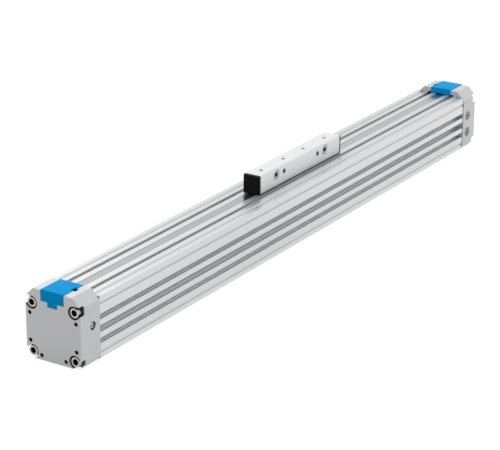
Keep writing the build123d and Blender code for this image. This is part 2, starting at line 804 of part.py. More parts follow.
with BuildPart() as clamp_screws:
    with BuildSketch(Plane.XY.offset(clamp_bar_base + clamp_bar_height)):
        with Locations(*clamp_screw_places):
            Circle(m3_head_diameter / 2)
    extrude(amount=m3_head_height)
    with BuildSketch(Plane.XY.offset(clamp_bar_base + clamp_bar_height)):
        with Locations(*clamp_screw_places):
            Circle(m3_diameter / 2)
    extrude(amount=-(clamp_screw_length + clamp_bar_height))
    with BuildSketch(Plane.XY.offset(clamp_bar_base + clamp_bar_height + m3_head_height)):
        with Locations(*clamp_screw_places):
            RegularPolygon(m3_hex / 2, 6, major_radius=False)
    extrude(amount=-m3_head_height / 2, mode=Mode.SUBTRACT)
save_pair(clamp_screws.part, "clamp_screws")

# Blue band cover: a shell open below, with a tab on the end face and a slot to lift it by
with BuildPart() as cover:
    with BuildSketch(across(cap_outer)):
        with Locations((0, cover_seat_height)):
            Rectangle(2 * cover_half_width, cover_height, align=(Align.CENTER, Align.MIN))
    extrude(amount=cap_length)
    chamfer(cover.edges().filter_by(Axis.X).group_by(Axis.Z)[-1], cover_edge)
    with BuildSketch(across(cap_outer + cover_wall)):
        with Locations((0, cover_seat_height)):
            Rectangle(
                2 * (cover_half_width - cover_wall),
                cover_height - cover_wall,
                align=(Align.CENTER, Align.MIN),
            )
    extrude(amount=cap_length - 2 * cover_wall, mode=Mode.SUBTRACT)
    with BuildSketch(across(cap_inner)):
        with Locations((0, cover_seat_height)):
            Rectangle(
                2 * (cover_tab_half_width + cover_clearance),
                cover_band_height + band_mouth - cover_seat_height,
                align=(Align.CENTER, Align.MIN),
            )
    extrude(amount=-cover_wall, mode=Mode.SUBTRACT)
    with BuildSketch(across(cap_outer)):
        with Locations((0, cover_seat_height)):
            Rectangle(
                2 * cover_tab_half_width,
                cover_tab_drop - cover_clearance,
                align=(Align.CENTER, Align.MAX),
            )
    extrude(amount=cover_wall)
    with BuildSketch(Plane.XY.offset(cover_seat_height + cover_height)):
        with Locations((cap_outer + release_slot_distance, -cover_half_width)):
            Rectangle(release_slot_length, 2 * release_slot_reach)
    extrude(amount=-cover_proud - release_slot_depth, mode=Mode.SUBTRACT)
save_pair(cover.part, "band_cover")


# Carriage, modelled about its own middle and moved to where it rests
with BuildPart() as yoke:
    # round body between the two piston heads, cut down to a beam where the bands bend
    with BuildSketch(across(-ramp_start)):
        with Locations((0, bore_height)):
            Circle(yoke_radius)
        with Locations((0, yoke_beam_top)):
            Rectangle(piston_diameter, piston_diameter, align=(Align.CENTER, Align.MIN), mode=Mode.SUBTRACT)
    extrude(amount=2 * ramp_start)
    with BuildSketch(across(-neck_length / 2)):
        with Locations((0, bore_height)):
            Circle(yoke_radius)
    extrude(amount=neck_length)
    with BuildSketch(across(-neck_length / 2)):
        with Locations((0, tunnel_floor)):
            Rectangle(2 * tunnel_half_width, tunnel_height, align=(Align.CENTER, Align.MIN))
    extrude(amount=neck_length, mode=Mode.SUBTRACT)
    # neck through the slot, and the flange on it
    with BuildSketch(across(-neck_length / 2)):
        with Locations((0, tunnel_roof)):
            Rectangle(2 * neck_half_width, driver_base - tunnel_roof, align=(Align.CENTER, Align.MIN))
    extrude(amount=neck_length)
    with BuildSketch(across(-flange_half_length)):
        with Locations((0, driver_base)):
            Rectangle(2 * flange_half_width, flange_height, align=(Align.CENTER, Align.MIN))
    extrude(amount=2 * flange_half_length)
    # four lugs that pass the cover band and hold the driver block
    with BuildSketch(Plane.XY.offset(flange_top)):
        with Locations(*lug_places):
            Rectangle(lug_length, lug_thickness)
    extrude(amount=lug_top_height - flange_top)
    chamfer(yoke.faces().filter_by(Axis.Z).group_by(Axis.Z)[-1].edges().filter_by(Axis.Y), lug_lead)
    with BuildSketch(Plane.XZ):
        with Locations(*driver_screw_places):
            Circle(driver_screw_diameter / 2 + hole_clearance)
    extrude(amount=driver_width, mode=Mode.SUBTRACT)
    with Locations(*[screw_mouth(x) for x in driver_screw_offsets]):
        add(screw_cone(0), mode=Mode.SUBTRACT)
    # threads of the piston head screws
    for side in (-1, 1):
        with BuildSketch(across(side * ramp_start)):
            with Locations((0, bore_height)):
                Circle(m6_diameter / 2 + hole_clearance / 2)
        extrude(amount=-side * head_thread_depth, mode=Mode.SUBTRACT)
save(on_carriage(yoke.part), "piston_yoke")

# Piston head: a disc with grooves for its rings and a bore that slides over the cushion spigot
with BuildPart() as head:
    with BuildSketch(across(head_face)):
        with Locations((0, bore_height)):
            Circle(head_radius)
    extrude(amount=head_length)
    chamfer(head.edges().filter_by(GeomType.CIRCLE), head_edge)
    for start, width, depth in head_grooves:
        with BuildSketch(across(head_face + start)):
            with Locations((0, bore_height)):
                Circle(bore_radius + 1)
                Circle(head_radius - depth, mode=Mode.SUBTRACT)
        extrude(amount=width, mode=Mode.SUBTRACT)
    with BuildSketch(across(head_face)):
        with Locations((0, bore_height)):
            Circle(cushion_radius)
    extrude(amount=cushion_bore_depth, mode=Mode.SUBTRACT)
    with BuildSketch(across(head_face + cushion_seal_start)):
        with Locations((0, bore_height)):
            Circle(cushion_radius + cushion_seal_depth)
    extrude(amount=cushion_seal_width, mode=Mode.SUBTRACT)
    with BuildSketch(across(head_face)):
        with Locations((0, bore_height)):
            Circle(m6_diameter / 2 + hole_clearance / 2)
    extrude(amount=head_length, mode=Mode.SUBTRACT)
mirrored_pair(head.part, "piston_head")


def ring(start, width, inner, outer, split=0):
    """A ring in a groove of the left piston head. A split ring has a gap at its lowest point."""
    with BuildPart() as made:
        with BuildSketch(across(head_face + start)):
            with Locations((0, bore_height)):
                Circle(outer)
                Circle(inner, mode=Mode.SUBTRACT)
            if split:
                with Locations((0, bore_height - outer)):
                    Rectangle(split, outer, mode=Mode.SUBTRACT)
        extrude(amount=width)
    return made.part


# Piston seal: a lip ring, hollowed on the pressure side
with BuildPart() as piston_seal:
    add(
        ring(
            seal_start + seal_side_gap,
            seal_width - 2 * seal_side_gap,
            head_radius - seal_depth + running_fit,
            bore_radius - running_fit,
        )
    )
    with BuildSketch(across(head_face + seal_start + seal_side_gap)):
        with Locations((0, bore_height)):
            Circle(bore_radius - seal_lip)
            Circle(head_radius - seal_depth + seal_lip, mode=Mode.SUBTRACT)
    extrude(amount=seal_width / 2, taper=seal_hollow_taper, mode=Mode.SUBTRACT)
mirrored_pair(piston_seal.part, "piston_seal")

mirrored_pair(
    ring(
        wear_ring_start + seal_side_gap,
        wear_ring_width - 2 * seal_side_gap,
        head_radius - wear_ring_depth + running_fit,
        bore_radius - running_fit,
        wear_ring_split,
    ),
    "wear_ring",
)
mirrored_pair(
    ring(
        magnet_ring_start + seal_side_gap,
        magnet_ring_width - 2 * seal_side_gap,
        head_radius - magnet_ring_depth + running_fit,
        head_radius - magnet_sink,
    ),
    "piston_magnet",
)
mirrored_pair(
    ring(
        cushion_seal_start + seal_side_gap,
        cushion_seal_width - 2 * seal_side_gap,
        spigot_diameter / 2 + running_fit,
        cushion_radius + cushion_seal_depth - running_fit,
    ),
    "cushion_seal",
)

# Screw that holds a piston head on the yoke
with BuildPart() as head_screw:
    with BuildSketch(across(head_face + cushion_bore_depth)):
        with Locations((0, bore_height)):
            Circle(m6_head_diameter / 2)
    extrude(amount=-m6_low_head_height)
    with BuildSketch(across(head_face + cushion_bore_depth)):
        with Locations((0, bore_height)):
            Circle(m6_diameter / 2)
    extrude(amount=head_screw_length)
    with BuildSketch(across(head_face + cushion_bore_depth - m6_low_head_height)):
        with Locations((0, bore_height)):
            RegularPolygon(m6_low_hex / 2, 6, major_radius=False)
    extrude(amount=m6_low_head_height / 2, mode=Mode.SUBTRACT)
mirrored_pair(head_screw.part, "head_screw")

# Plastic guide that leads the inner band from the yoke's tunnel up to its seat
with BuildPart() as sealing_guide:
    with BuildSketch(Plane.XZ):
        with BuildLine():
            Polyline(
                (-sealing_guide_foot, yoke_beam_top),
                (-ramp_start, yoke_beam_top),
                (-ramp_start, sealing_guide_top),
                (-sealing_guide_crest, sealing_guide_top),
                close=True,
            )
        make_face()
    extrude(amount=sealing_guide_half_width, both=True)
mirrored_pair(sealing_guide.part, "sealing_band_guide")

# Driver block: hollow below for the flange, the lugs and the cover band
with BuildPart() as driver:
    with BuildSketch(across(-block_half_length)):
        with Locations((0, driver_base)):
            Rectangle(driver_width, driver_top - driver_base, align=(Align.CENTER, Align.MIN))
    extrude(amount=2 * block_half_length)
    chamfer(driver.edges().filter_by(Axis.X).group_by(Axis.Z)[-1], driver_edge)
    with BuildSketch(across(-block_half_length)):
        with Locations((0, driver_base)):
            Rectangle(
                2 * driver_tunnel_half_width,
                driver_tunnel_roof - driver_base,
                align=(Align.CENTER, Align.MIN),
            )
    extrude(amount=2 * block_half_length, mode=Mode.SUBTRACT)
    with BuildSketch(across(-flange_half_length - fit_gap)):
        with Locations((0, driver_base)):
            Rectangle(
                2 * (flange_half_width + fit_gap),
                flange_height + fit_gap,
                align=(Align.CENTER, Align.MIN),
            )
    extrude(amount=2 * (flange_half_length + fit_gap), mode=Mode.SUBTRACT)
    with BuildSketch(Plane.XY.offset(driver_base)):
        with Locations(*lug_places):
            Rectangle(lug_length + 2 * fit_gap, lug_thickness + 2 * fit_gap)
    extrude(amount=lug_top_height + fit_gap - driver_base, mode=Mode.SUBTRACT)
    # threaded holes in the top, for what the carriage carries
    with BuildSketch(Plane.XY.offset(driver_top)):
        with Locations(*top_hole_places):
            Circle(m5_core_diameter / 2)
    extrude(amount=-top_hole_depth, mode=Mode.SUBTRACT)
    top_rims = driver.faces().filter_by(Axis.Z).sort_by(Axis.Z)[-1].edges().filter_by(GeomType.CIRCLE)
    chamfer(top_rims, (m5_mouth_diameter - m5_core_diameter) / 2)
    # plain holes through both sides
    with BuildSketch(facing(-1, driver_width / 2)):
        with Locations(*side_hole_places):
            Circle(side_hole_diameter / 2)
    extrude(amount=-driver_width, mode=Mode.SUBTRACT)
    # countersunk seats of the two screws that hold the block on the lugs
    with BuildSketch(facing(-1, driver_width / 2)):
        with Locations(*driver_screw_places):
            Circle(driver_screw_diameter / 2 + hole_clearance)
    extrude(amount=-driver_screw_hole_depth, mode=Mode.SUBTRACT)
    with Locations(*[screw_mouth(x) for x in driver_screw_offsets]):
        add(screw_cone(0), mode=Mode.SUBTRACT)
    # sockets of the end plates' pegs
    for side in (-1, 1):
        with BuildSketch(across(side * block_half_length)):
            with Locations(*plate_peg_places):
                Circle(plate_peg_diameter / 2 + needle_fit)
        extrude(amount=-side * (plate_peg_length + fit_gap), mode=Mode.SUBTRACT)
save(on_carriage(driver.part), "driver_block")

# Countersunk screws in the front of the driver block
with BuildPart() as driver_screws:
    with Locations(*[screw_mouth(x) for x in driver_screw_offsets]):
        add(screw_cone(driver_screw_sink))
    with BuildSketch(facing(-1, driver_width / 2 - driver_screw_sink)):
        with Locations(*driver_screw_places):
            Circle(driver_screw_diameter / 2)
    extrude(amount=-driver_screw_length)
    with BuildSketch(facing(-1, driver_width / 2)):
        with Locations(*driver_screw_places):
            RegularPolygon(driver_screw_hex / 2, 6, major_radius=False)
    extrude(amount=-(driver_screw_sink + driver_screw_hex / 2), mode=Mode.SUBTRACT)
save(on_carriage(driver_screws.part), "driver_screws")

# Black end plates, held by two pegs each
with BuildPart() as plate:
    with BuildSketch(across(-driver_half_length)):
        with Locations((0, barrel_top + plate_lift)):
            plate_height = driver_top - plate_drop - barrel_top - plate_lift
            Rectangle(driver_width, plate_height, align=(Align.CENTER, Align.MIN))
    extrude(amount=plate_thickness)
    fillet(plate.faces().sort_by(Axis.X)[0].edges(), plate_edge)
    with BuildSketch(across(-block_half_length)):
        with Locations(*plate_peg_places):
            Circle(plate_peg_diameter / 2)
    extrude(amount=plate_peg_length)
mirrored_pair(plate.part, "driver_plate")

# Black sliding strips under the block's long edges
with BuildPart() as strip:
    with BuildSketch(across(-block_half_length)):
        with Locations((-(driver_width - strip_width) / 2, barrel_top + strip_gap)):
            Rectangle(strip_width, driver_lift - strip_gap, align=(Align.CENTER, Align.MIN))
    extrude(amount=2 * block_half_length)
save(on_carriage(strip.part), "front_slide_strip")
save(on_carriage(strip.part.mirror(Plane.XZ)), "back_slide_strip")

# Plastic guide in each end of the driver block, which presses the cover band back on its seat
with BuildPart() as cover_guide:
    with BuildSketch(Plane.XZ):
        with BuildLine():
            Polyline(
                (-block_half_length, driver_tunnel_roof),
                (-block_half_length, cover_guide_base),
                (-block_half_length + cover_guide_foot, cover_guide_base + cover_guide_toe_rise),
                (-block_half_length + 2 * cover_guide_foot, cover_guide_base + cover_guide_rise),
                (-flange_half_length - cover_guide_gap, driver_tunnel_roof - cover_guide_nose),
                (-flange_half_length - cover_guide_gap, driver_tunnel_roof),
                close=True,
            )
        make_face()
    extrude(amount=driver_tunnel_half_width - fit_gap / 2, both=True)
mirrored_pair(cover_guide.part, "cover_band_guide")
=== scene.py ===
import json
from math import atan2, cos, pi, radians

import bmesh
import bpy
from bpy.props import FloatProperty, FloatVectorProperty, IntProperty, PointerProperty
from mathutils import Matrix, Vector


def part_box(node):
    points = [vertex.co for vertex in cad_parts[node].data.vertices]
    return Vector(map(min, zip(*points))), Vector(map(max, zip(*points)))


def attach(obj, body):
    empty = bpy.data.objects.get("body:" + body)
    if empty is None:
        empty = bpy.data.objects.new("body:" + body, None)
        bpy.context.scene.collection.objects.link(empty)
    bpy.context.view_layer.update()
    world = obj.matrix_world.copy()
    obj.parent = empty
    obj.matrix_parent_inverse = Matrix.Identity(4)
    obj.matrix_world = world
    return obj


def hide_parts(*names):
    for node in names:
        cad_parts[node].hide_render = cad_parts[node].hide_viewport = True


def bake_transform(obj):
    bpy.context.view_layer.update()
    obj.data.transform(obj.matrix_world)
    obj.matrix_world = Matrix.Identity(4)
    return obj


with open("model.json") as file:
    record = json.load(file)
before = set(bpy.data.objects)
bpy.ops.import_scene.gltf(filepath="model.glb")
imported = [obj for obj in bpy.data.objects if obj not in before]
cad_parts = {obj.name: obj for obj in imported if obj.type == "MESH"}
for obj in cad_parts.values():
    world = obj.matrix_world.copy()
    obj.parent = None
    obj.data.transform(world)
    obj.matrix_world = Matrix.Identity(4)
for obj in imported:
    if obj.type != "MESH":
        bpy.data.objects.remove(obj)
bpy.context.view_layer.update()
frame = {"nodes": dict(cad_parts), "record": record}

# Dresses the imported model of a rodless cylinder: a slotted aluminium barrel with two end caps, a
# steel band along its top, and a carriage that the air pushes along it. Metres, in the model's
# frame: X runs along the barrel, the visible side faces -Y and Z is up.

bl_info = {
    "name": "Rodless cylinder dressing",
    "version": (1, 0, 0),
    "blender": (4, 5, 0),
    "location": "3D View > Sidebar > Cylinder",
    "description": "Finishes, screws, bands, seals and a light studio for the rodless cylinder",
    "category": "Object",
}


def linear(code):
    """An sRGB hex colour as the linear red, green and blue that shaders expect."""
    shares = [int(code[i:i + 2], 16) / 255 for i in (1, 3, 5)]
    return [s / 12.92 if s <= 0.04045 else ((s + 0.055) / 1.055) ** 2.4 for s in shares]


def low(node):
    """Lowest corner of a node of the model."""
    return Vector(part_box(node)[0])


def high(node):
    """Highest corner of a node of the model."""
    return Vector(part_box(node)[1])


def middle(node):
    """Centre of a node of the model."""
    return (low(node) + high(node)) / 2


# The right end is the left one, turned half a turn about the vertical.
ENDS = (("left", Matrix.Identity(4)), ("right", Matrix.Rotation(pi, 4, "Z")))
OUTWARDS = {"left": -1, "right": 1}
SLANT = 0.5 ** 0.5              # each part of a direction at 45 degrees
SKIN = 0.0001                   # what lies less deep than this counts as an outer face
PATTERN_LOW, PATTERN_HIGH = 0.3, 0.7    # between these lies most of a noise
THREAD_DEPTH = 0.61             # depth of a metric thread, in pitches
THREAD_SINK = 0.02              # how far a ridge's foot sinks into its core, in pitches


# Sizes and colours that can be changed


def length(name, description, default):
    """A size in metres, shown with its unit."""
    return FloatProperty(name=name, description=description, default=default, min=0.0,
                         precision=5, unit="LENGTH", subtype="DISTANCE")


def colour(name, description, code):
    """A surface colour, given as sRGB hex."""
    return FloatVectorProperty(name=name, description=description, default=linear(code),
                               size=3, min=0.0, max=1.0, subtype="COLOR")


def share(name, description, default, most=1.0):
    """A plain number from 0 to 1, or to a little more."""
    return FloatProperty(name=name, description=description, default=default,
                         min=0.0, max=most, subtype="FACTOR")


class CylinderColours(bpy.types.PropertyGroup):
    barrel: colour("Barrel", "Clear anodised extruded aluminium", "#d8d9da")
    caps: colour("End caps", "Blasted and anodised die-cast aluminium", "#cbcccd")
    driver: colour("Driver", "Finely milled and anodised aluminium", "#e2e3e4")
    machined: colour("Inner aluminium", "Turned and milled aluminium, left plain", "#cdced0")
    band: colour("Cover band", "Bright rolled stainless strip", "#bcbdbf")
    nickel: colour("Nickel", "Nickel on the screws that show", "#b2b1ae")
    zinc: colour("Zinc", "Zinc on clamps and inner screws", "#b4b8be")
    # Painted shade: the socket insides are painted nearly black for the shade deep in them.
    socket_shade: colour("Sockets", "Oil on bare steel inside the sockets", "#141415")
    # Painted shade: the threads in the holes are painted dark for the shade down in the holes.
    thread: colour("Threads", "Oil on the threads in the holes", "#4a4a4c")
    # Painted light: a lighter copy of the threads' colour, for the light that reaches into the open
    # ports.
    port_thread: colour("Port threads", "Clean cut aluminium in the open ports", "#dcdcdd")
    blue: colour("Band covers", "Moulded blue plastic", "#0093d3")
    black: colour("Plates and strips", "Black acetal", "#0c0c0d")
    natural: colour("Band guides", "Natural acetal", "#e4e3da")
    rubber: colour("Seals", "Nitrile rubber", "#17171a")
    inner_band: colour("Sealing band", "Dark polyurethane", "#34353a")
    magnet: colour("Magnets", "Ferrite in rubber or plastic", "#2b2523")


class FinishSizes(bpy.types.PropertyGroup):
    die_line: length("Die lines", "Spacing of the die's lines along the barrel", 0.0006)
    mill_line: length("Mill lines", "Spacing of the cutter's marks on the driver", 0.0009)
    blast_grit: length("Blast grit", "Size of the grains on the blasted caps", 0.00035)
    roll_line: length("Rolling lines", "Spacing of the fine lines along the cover band", 0.0014)
    barrel_chamfer: length("Barrel chamfer", "Width of the slants on top of the barrel", 0.0034)
    barrel_rounding: length("Barrel rounding", "Radius of the barrel's lower corners", 0.003)
    cap_chamfer: length("Cap chamfer", "Width of the long slants on top of the end caps", 0.0094)
    cap_base_chamfer: length("Cap base chamfer", "Width of the slants below the end caps", 0.004)
    mould_grain: length("Moulded grain", "Size of the grain on black and blue plastic", 0.00045)


class ScrewSizes(bpy.types.PropertyGroup):
    ridges: IntProperty(name="Knurl ridges", description="Ridges round a screw's head",
                        default=48, min=12, max=96)
    knurl_depth: length("Knurl depth", "How deep the grooves of the knurl are", 0.00014)
    edge: length("Head edge", "Rounded edge on top of a screw's head", 0.0005)
    thread_pitch: length("M6 pitch", "Coarse pitch of an M6 thread", 0.001)
    small_pitch: length("M3 pitch", "Coarse pitch of an M3 thread", 0.0005)
    hole_pitch: length("M5 pitch", "Coarse pitch of the threaded holes", 0.0008)
    port_pitch: length("Port pitch", "Pitch of the pipe thread in the ports", 0.000907)


class PieceSizes(bpy.types.PropertyGroup):
    band_reach: length("Bent stretch", "From the driver's middle to where a band is straight",
                       0.084)
    cover_edge: length("Cover edge", "Rounding that the mould leaves on the blue covers", 0.00035)


class StageSizes(bpy.types.PropertyGroup):
    floor: length("Floor", "Width of the pale floor", 14.0)
    key_power: FloatProperty(name="Key lamp", description="Power of the lamp above and behind",
                             default=37.0, min=0.0, unit="POWER")
    sky_dark: share("Sky, dark side", "Brightness on the left and behind", 0.44)
    sky_bright: share("Sky, bright side", "Brightness on the right and in front", 1.32, 2.0)
    lens: FloatProperty(name="Lens", description="Focal length in millimetres on a 36 mm sensor",
                        default=149.23, min=1.0, unit="CAMERA")
    roll: FloatProperty(name="Camera roll", description="How far the camera leans over",
                        default=0.0038, unit="ROTATION", subtype="ANGLE")


# Materials


def add_node(tree, kind, values=None, links=None, **settings):
    """Adds a shader node with its settings, the values of its sockets and what feeds them."""
    node = tree.nodes.new(kind)
    for name, setting in settings.items():
        setattr(node, name, setting)
    for socket, value in (values or {}).items():
        node.inputs[socket].default_value = value
    for socket, source in (links or {}).items():
        tree.links.new(source, node.inputs[socket])
    return node


def stretched_noise(tree, spacing, detail, softness):
    """Noise on Object coordinates, as coarse along each axis as the spacing in metres says."""
    place = add_node(tree, "ShaderNodeTexCoord")
    scaled = add_node(tree, "ShaderNodeMapping", {"Scale": [1 / s for s in spacing]},
                      {"Vector": place.outputs["Object"]})
    return add_node(tree, "ShaderNodeTexNoise",
                    {"Scale": 1.0, "Detail": detail, "Roughness": softness},
                    {"Vector": scaled.outputs["Vector"]}).outputs["Fac"]


def shade(tree, pattern, colour_value, darker, lighter):
    """A colour that a pattern makes a little darker or lighter."""
    ramp = add_node(tree, "ShaderNodeValToRGB", links={"Fac": pattern})
    for stop, place, amount in ((0, PATTERN_LOW, darker), (1, PATTERN_HIGH, lighter)):
        ramp.color_ramp.elements[stop].position = place
        ramp.color_ramp.elements[stop].color = [min(1.0, c * amount) for c in colour_value] + [1.0]
    return ramp.outputs["Color"]


def depth_below(tree, faces):
    """How deep a point lies below the nearest outer face.

    Each face is a direction and its distance from the origin. The point is folded to positive X, Y
    and Z first, so one face stands for those on both sides.
    """
    place = add_node(tree, "ShaderNodeTexCoord")
    folded = add_node(tree, "ShaderNodeVectorMath", links={0: place.outputs["Object"]},
                      operation="ABSOLUTE")
    nearest = None
    for direction, distance in faces:
        along = add_node(tree, "ShaderNodeVectorMath", {1: direction},
                         {0: folded.outputs["Vector"]}, operation="DOT_PRODUCT")
        depth = add_node(tree, "ShaderNodeMath", {0: distance}, {1: along.outputs["Value"]},
                         operation="SUBTRACT").outputs[0]
        nearest = depth if nearest is None else add_node(
            tree, "ShaderNodeMath", links={0: nearest, 1: depth}, operation="MINIMUM").outputs[0]
    return nearest


def paint_shade_below(tree, surface_colour, depth, start, end, darkest):
    """The colour, darker between two depths in metres: painted shade in recesses."""
    amount = add_node(tree, "ShaderNodeMapRange",
                      {"From Min": start, "From Max": end, "To Min": 1.0, "To Max": darkest},
                      {"Value": depth}).outputs["Result"]
    return add_node(tree, "ShaderNodeMix", {0: 1.0}, {6: surface_colour, 7: amount},
                    data_type="RGBA", blend_type="MULTIPLY").outputs[2]


def finish_surface(tree, pattern, tint, roughness, values, bumps=None):
    """The surface shader and the output.

    The pattern spreads the roughness over two values and raises bumps, which are given as their
    strength and their height in metres.
    """
    rough = add_node(tree, "ShaderNodeMapRange",
                     {"From Min": PATTERN_LOW, "From Max": PATTERN_HIGH,
                      "To Min": roughness[0], "To Max": roughness[1]}, {"Value": pattern})
    links = {"Base Color": tint, "Roughness": rough.outputs["Result"]}
    if bumps:
        bump = add_node(tree, "ShaderNodeBump", {"Strength": bumps[0], "Distance": bumps[1]},
                        {"Height": pattern})
        links["Normal"] = bump.outputs["Normal"]
    surface = add_node(tree, "ShaderNodeBsdfPrincipled", values, links)
    add_node(tree, "ShaderNodeOutputMaterial", links={"Surface": surface.outputs["BSDF"]})


def extruded_anodised_aluminium(tree, colours, sizes):
    # Clear anodised extrusion: a soft grey sheen, with faint lines that the die drew along it.
    # The lines are 0.05 mm apart on the real one and drawn coarser, or they wouldn't show.
    lines = stretched_noise(tree, (0.5, sizes.die_line, sizes.die_line), 3.0, 0.6)
    top, base = high("barrel_profile"), low("barrel_profile")
    round_to_slant = 0.6        # a slant touches a round corner this share of its radius in
    depth = depth_below(tree, [
        ((0, 1, 0), top.y), ((0, 0, 1), top.z), ((0, 0, -1), -base.z),
        ((0, SLANT, SLANT), SLANT * (top.y + top.z - sizes.barrel_chamfer)),
        ((0, SLANT, -SLANT), SLANT * (top.y - base.z - round_to_slant * sizes.barrel_rounding))])
    tint = shade(tree, lines, colours.barrel, 0.95, 1.04)

    # Painted shade: shallow grooves are painted darker; deep in the slots the colour is left as it
    # is.
    groove, groove_shade_factor = 0.0009, 0.72
    slot_start, slot_full = 0.0012, 0.005
    groove_shade = paint_shade_below(tree, tint, depth, SKIN, groove, groove_shade_factor)
    inside = add_node(tree, "ShaderNodeMapRange", {"From Min": slot_start, "From Max": slot_full},
                      {"Value": depth})
    grooves_shaded = add_node(tree, "ShaderNodeMix",
                     links={0: inside.outputs["Result"], 6: groove_shade, 7: tint}, data_type="RGBA")

    # Painted shade: a dark line where the barrel meets the caps, over its last millimetre.
    seam_start, seam_full, seam_dark = 0.0012, 0.0004, 0.4
    place = add_node(tree, "ShaderNodeTexCoord").outputs["Object"]
    along = add_node(tree, "ShaderNodeSeparateXYZ", links={0: place}).outputs["X"]
    along = add_node(tree, "ShaderNodeMath", links={0: along}, operation="ABSOLUTE").outputs[0]
    seam_shaded = paint_shade_below(tree, grooves_shaded.outputs[2], along,
                          top.x - seam_start, top.x - seam_full, seam_dark)
    finish_surface(tree, lines, seam_shaded, (0.28, 0.38),
                   {"Metallic": 0.75}, (0.2, 0.00003))


def blasted_anodised_aluminium(tree, colours, sizes):
    # Die-cast, blasted and anodised: matt and even, with a fine grain and no lines.
    grain = stretched_noise(tree, [sizes.blast_grit] * 3, 2.0, 0.5)
    corner = high("right_end_cap")
    # Painted shade: pockets and holes in the caps are painted darker with depth, nearly black.
    pocket, darkest = 0.0015, 0.06      # recesses are nearly black from this deep on
    depth = depth_below(tree, [
        ((1, 0, 0), corner.x), ((-1, 0, 0), -high("barrel_profile").x), ((0, 1, 0), corner.y),
        ((0, 0, 1), corner.z), ((0, 0, -1), 0.0),
        ((0, SLANT, SLANT), SLANT * (corner.y + corner.z - sizes.cap_chamfer)),
        ((0, SLANT, -SLANT), SLANT * (corner.y - sizes.cap_base_chamfer))])
    tint = shade(tree, grain, colours.caps, 0.96, 1.03)
    finish_surface(tree, grain, paint_shade_below(tree, tint, depth, SKIN, pocket, darkest), (0.5, 0.6),
                   {"Metallic": 0.35}, (0.25, 0.00003))


def milled_anodised_aluminium(tree, colours, sizes):
    # Milled, then anodised: brighter and smoother than the barrel, with faint marks along it.
    lines = stretched_noise(tree, (0.2, sizes.mill_line, sizes.mill_line), 2.0, 0.5)
    corner = high("driver_block")
    # Painted shade: the holes in the driver are painted darker with depth.
    hole, darkest = 0.002, 0.15         # holes in the driver get this dark from this deep on
    depth = depth_below(tree, [((0, 1, 0), corner.y), ((0, 0, 1), corner.z)])
    tint = shade(tree, lines, colours.driver, 0.98, 1.02)
    finish_surface(tree, lines, paint_shade_below(tree, tint, depth, SKIN, hole, darkest), (0.34, 0.42),
                   {"Metallic": 0.45}, (0.12, 0.00002))


def plain_turned_aluminium(tree, colours, sizes):
    # Turned and milled and left bare: the brightest of the aluminiums, with tool marks.
    marks = stretched_noise(tree, (sizes.mill_line / 2, 0.02, 0.02), 2.0, 0.5)
    finish_surface(tree, marks, shade(tree, marks, colours.machined, 0.94, 1.05), (0.22, 0.34),
                   {"Metallic": 1.0}, (0.25, 0.00003))


def rolled_stainless_steel(tree, colours, sizes):
    # Cold rolled strip: almost a mirror, with fine lines in the direction it was rolled.
    # Real rolling lines are far finer and are drawn coarser, or they wouldn't show.
    lines = stretched_noise(tree, (0.3, sizes.roll_line, 0.05), 2.0, 0.6)
    finish_surface(tree, lines, shade(tree, lines, colours.band, 0.94, 1.04), (0.2, 0.28),
                   {"Metallic": 1.0}, (0.05, 0.000003))


def nickel_plated_steel(tree, colours, sizes):
    # Screws that show: bright and slightly warm, with small cloudy spots where they were handled.
    clouds = stretched_noise(tree, [0.0018] * 3, 3.0, 0.6)
    finish_surface(tree, clouds, shade(tree, clouds, colours.nickel, 0.93, 1.03), (0.18, 0.3),
                   {"Metallic": 1.0})


def zinc_plated_steel(tree, colours, sizes):
    # Clamps and inner screws: a duller, bluish plating with a fine mottle.
    mottle = stretched_noise(tree, [0.0012] * 3, 3.0, 0.6)
    finish_surface(tree, mottle, shade(tree, mottle, colours.zinc, 0.9, 1.06), (0.28, 0.42),
                   {"Metallic": 1.0})


def moulded_blue_plastic(tree, colours, sizes):
    # Injection moulded and smooth: a clear bright blue with a soft gloss and a fine moulded grain.
    grain = stretched_noise(tree, [sizes.mould_grain] * 3, 2.0, 0.5)
    finish_surface(tree, grain, shade(tree, grain, colours.blue, 0.97, 1.03), (0.34, 0.42),
                   {"Metallic": 0.0, "IOR": 1.46, "Specular IOR Level": 0.02}, (0.15, 0.00002))


def black_acetal(tree, colours, sizes):
    # Moulded black acetal: deep black with a dull, even sheen.
    grain = stretched_noise(tree, [sizes.mould_grain] * 3, 2.0, 0.5)
    finish_surface(tree, grain, shade(tree, grain, colours.black, 0.8, 1.3), (0.45, 0.55),
                   {"Metallic": 0.0, "IOR": 1.48, "Specular IOR Level": 0.12}, (0.2, 0.00003))


def natural_acetal(tree, colours, sizes):
    # Machined natural acetal: milky white and a little waxy.
    marks = stretched_noise(tree, (0.0006, 0.01, 0.01), 2.0, 0.5)
    finish_surface(tree, marks, shade(tree, marks, colours.natural, 0.97, 1.02), (0.4, 0.5),
                   {"Metallic": 0.0, "IOR": 1.48, "Subsurface Weight": 0.2,
                    "Subsurface Scale": 0.001})


def nitrile_rubber(tree, colours, sizes):
    # Moulded rubber: nearly black and matt, with a trace of grease on it.
    grease = stretched_noise(tree, [0.004] * 3, 3.0, 0.6)
    finish_surface(tree, grease, shade(tree, grease, colours.rubber, 0.9, 1.2), (0.45, 0.7),
                   {"Metallic": 0.0, "IOR": 1.52})


def socket_shade_steel(tree, colours, sizes):
    # Inside of sockets: painted nearly black for the shade deep in them.
    film = stretched_noise(tree, [0.001] * 3, 2.0, 0.5)
    finish_surface(tree, film, shade(tree, film, colours.socket_shade, 0.7, 1.3), (0.35, 0.5),
                   {"Metallic": 0.5})


def cut_thread_aluminium(tree, colours, sizes):
    # Threads cut after anodising, painted dark for the shade down in the holes, with fine bright
    # crests.
    film = stretched_noise(tree, [0.0006] * 3, 2.0, 0.5)
    finish_surface(tree, film, shade(tree, film, colours.thread, 0.8, 1.3), (0.3, 0.45),
                   {"Metallic": 0.8})


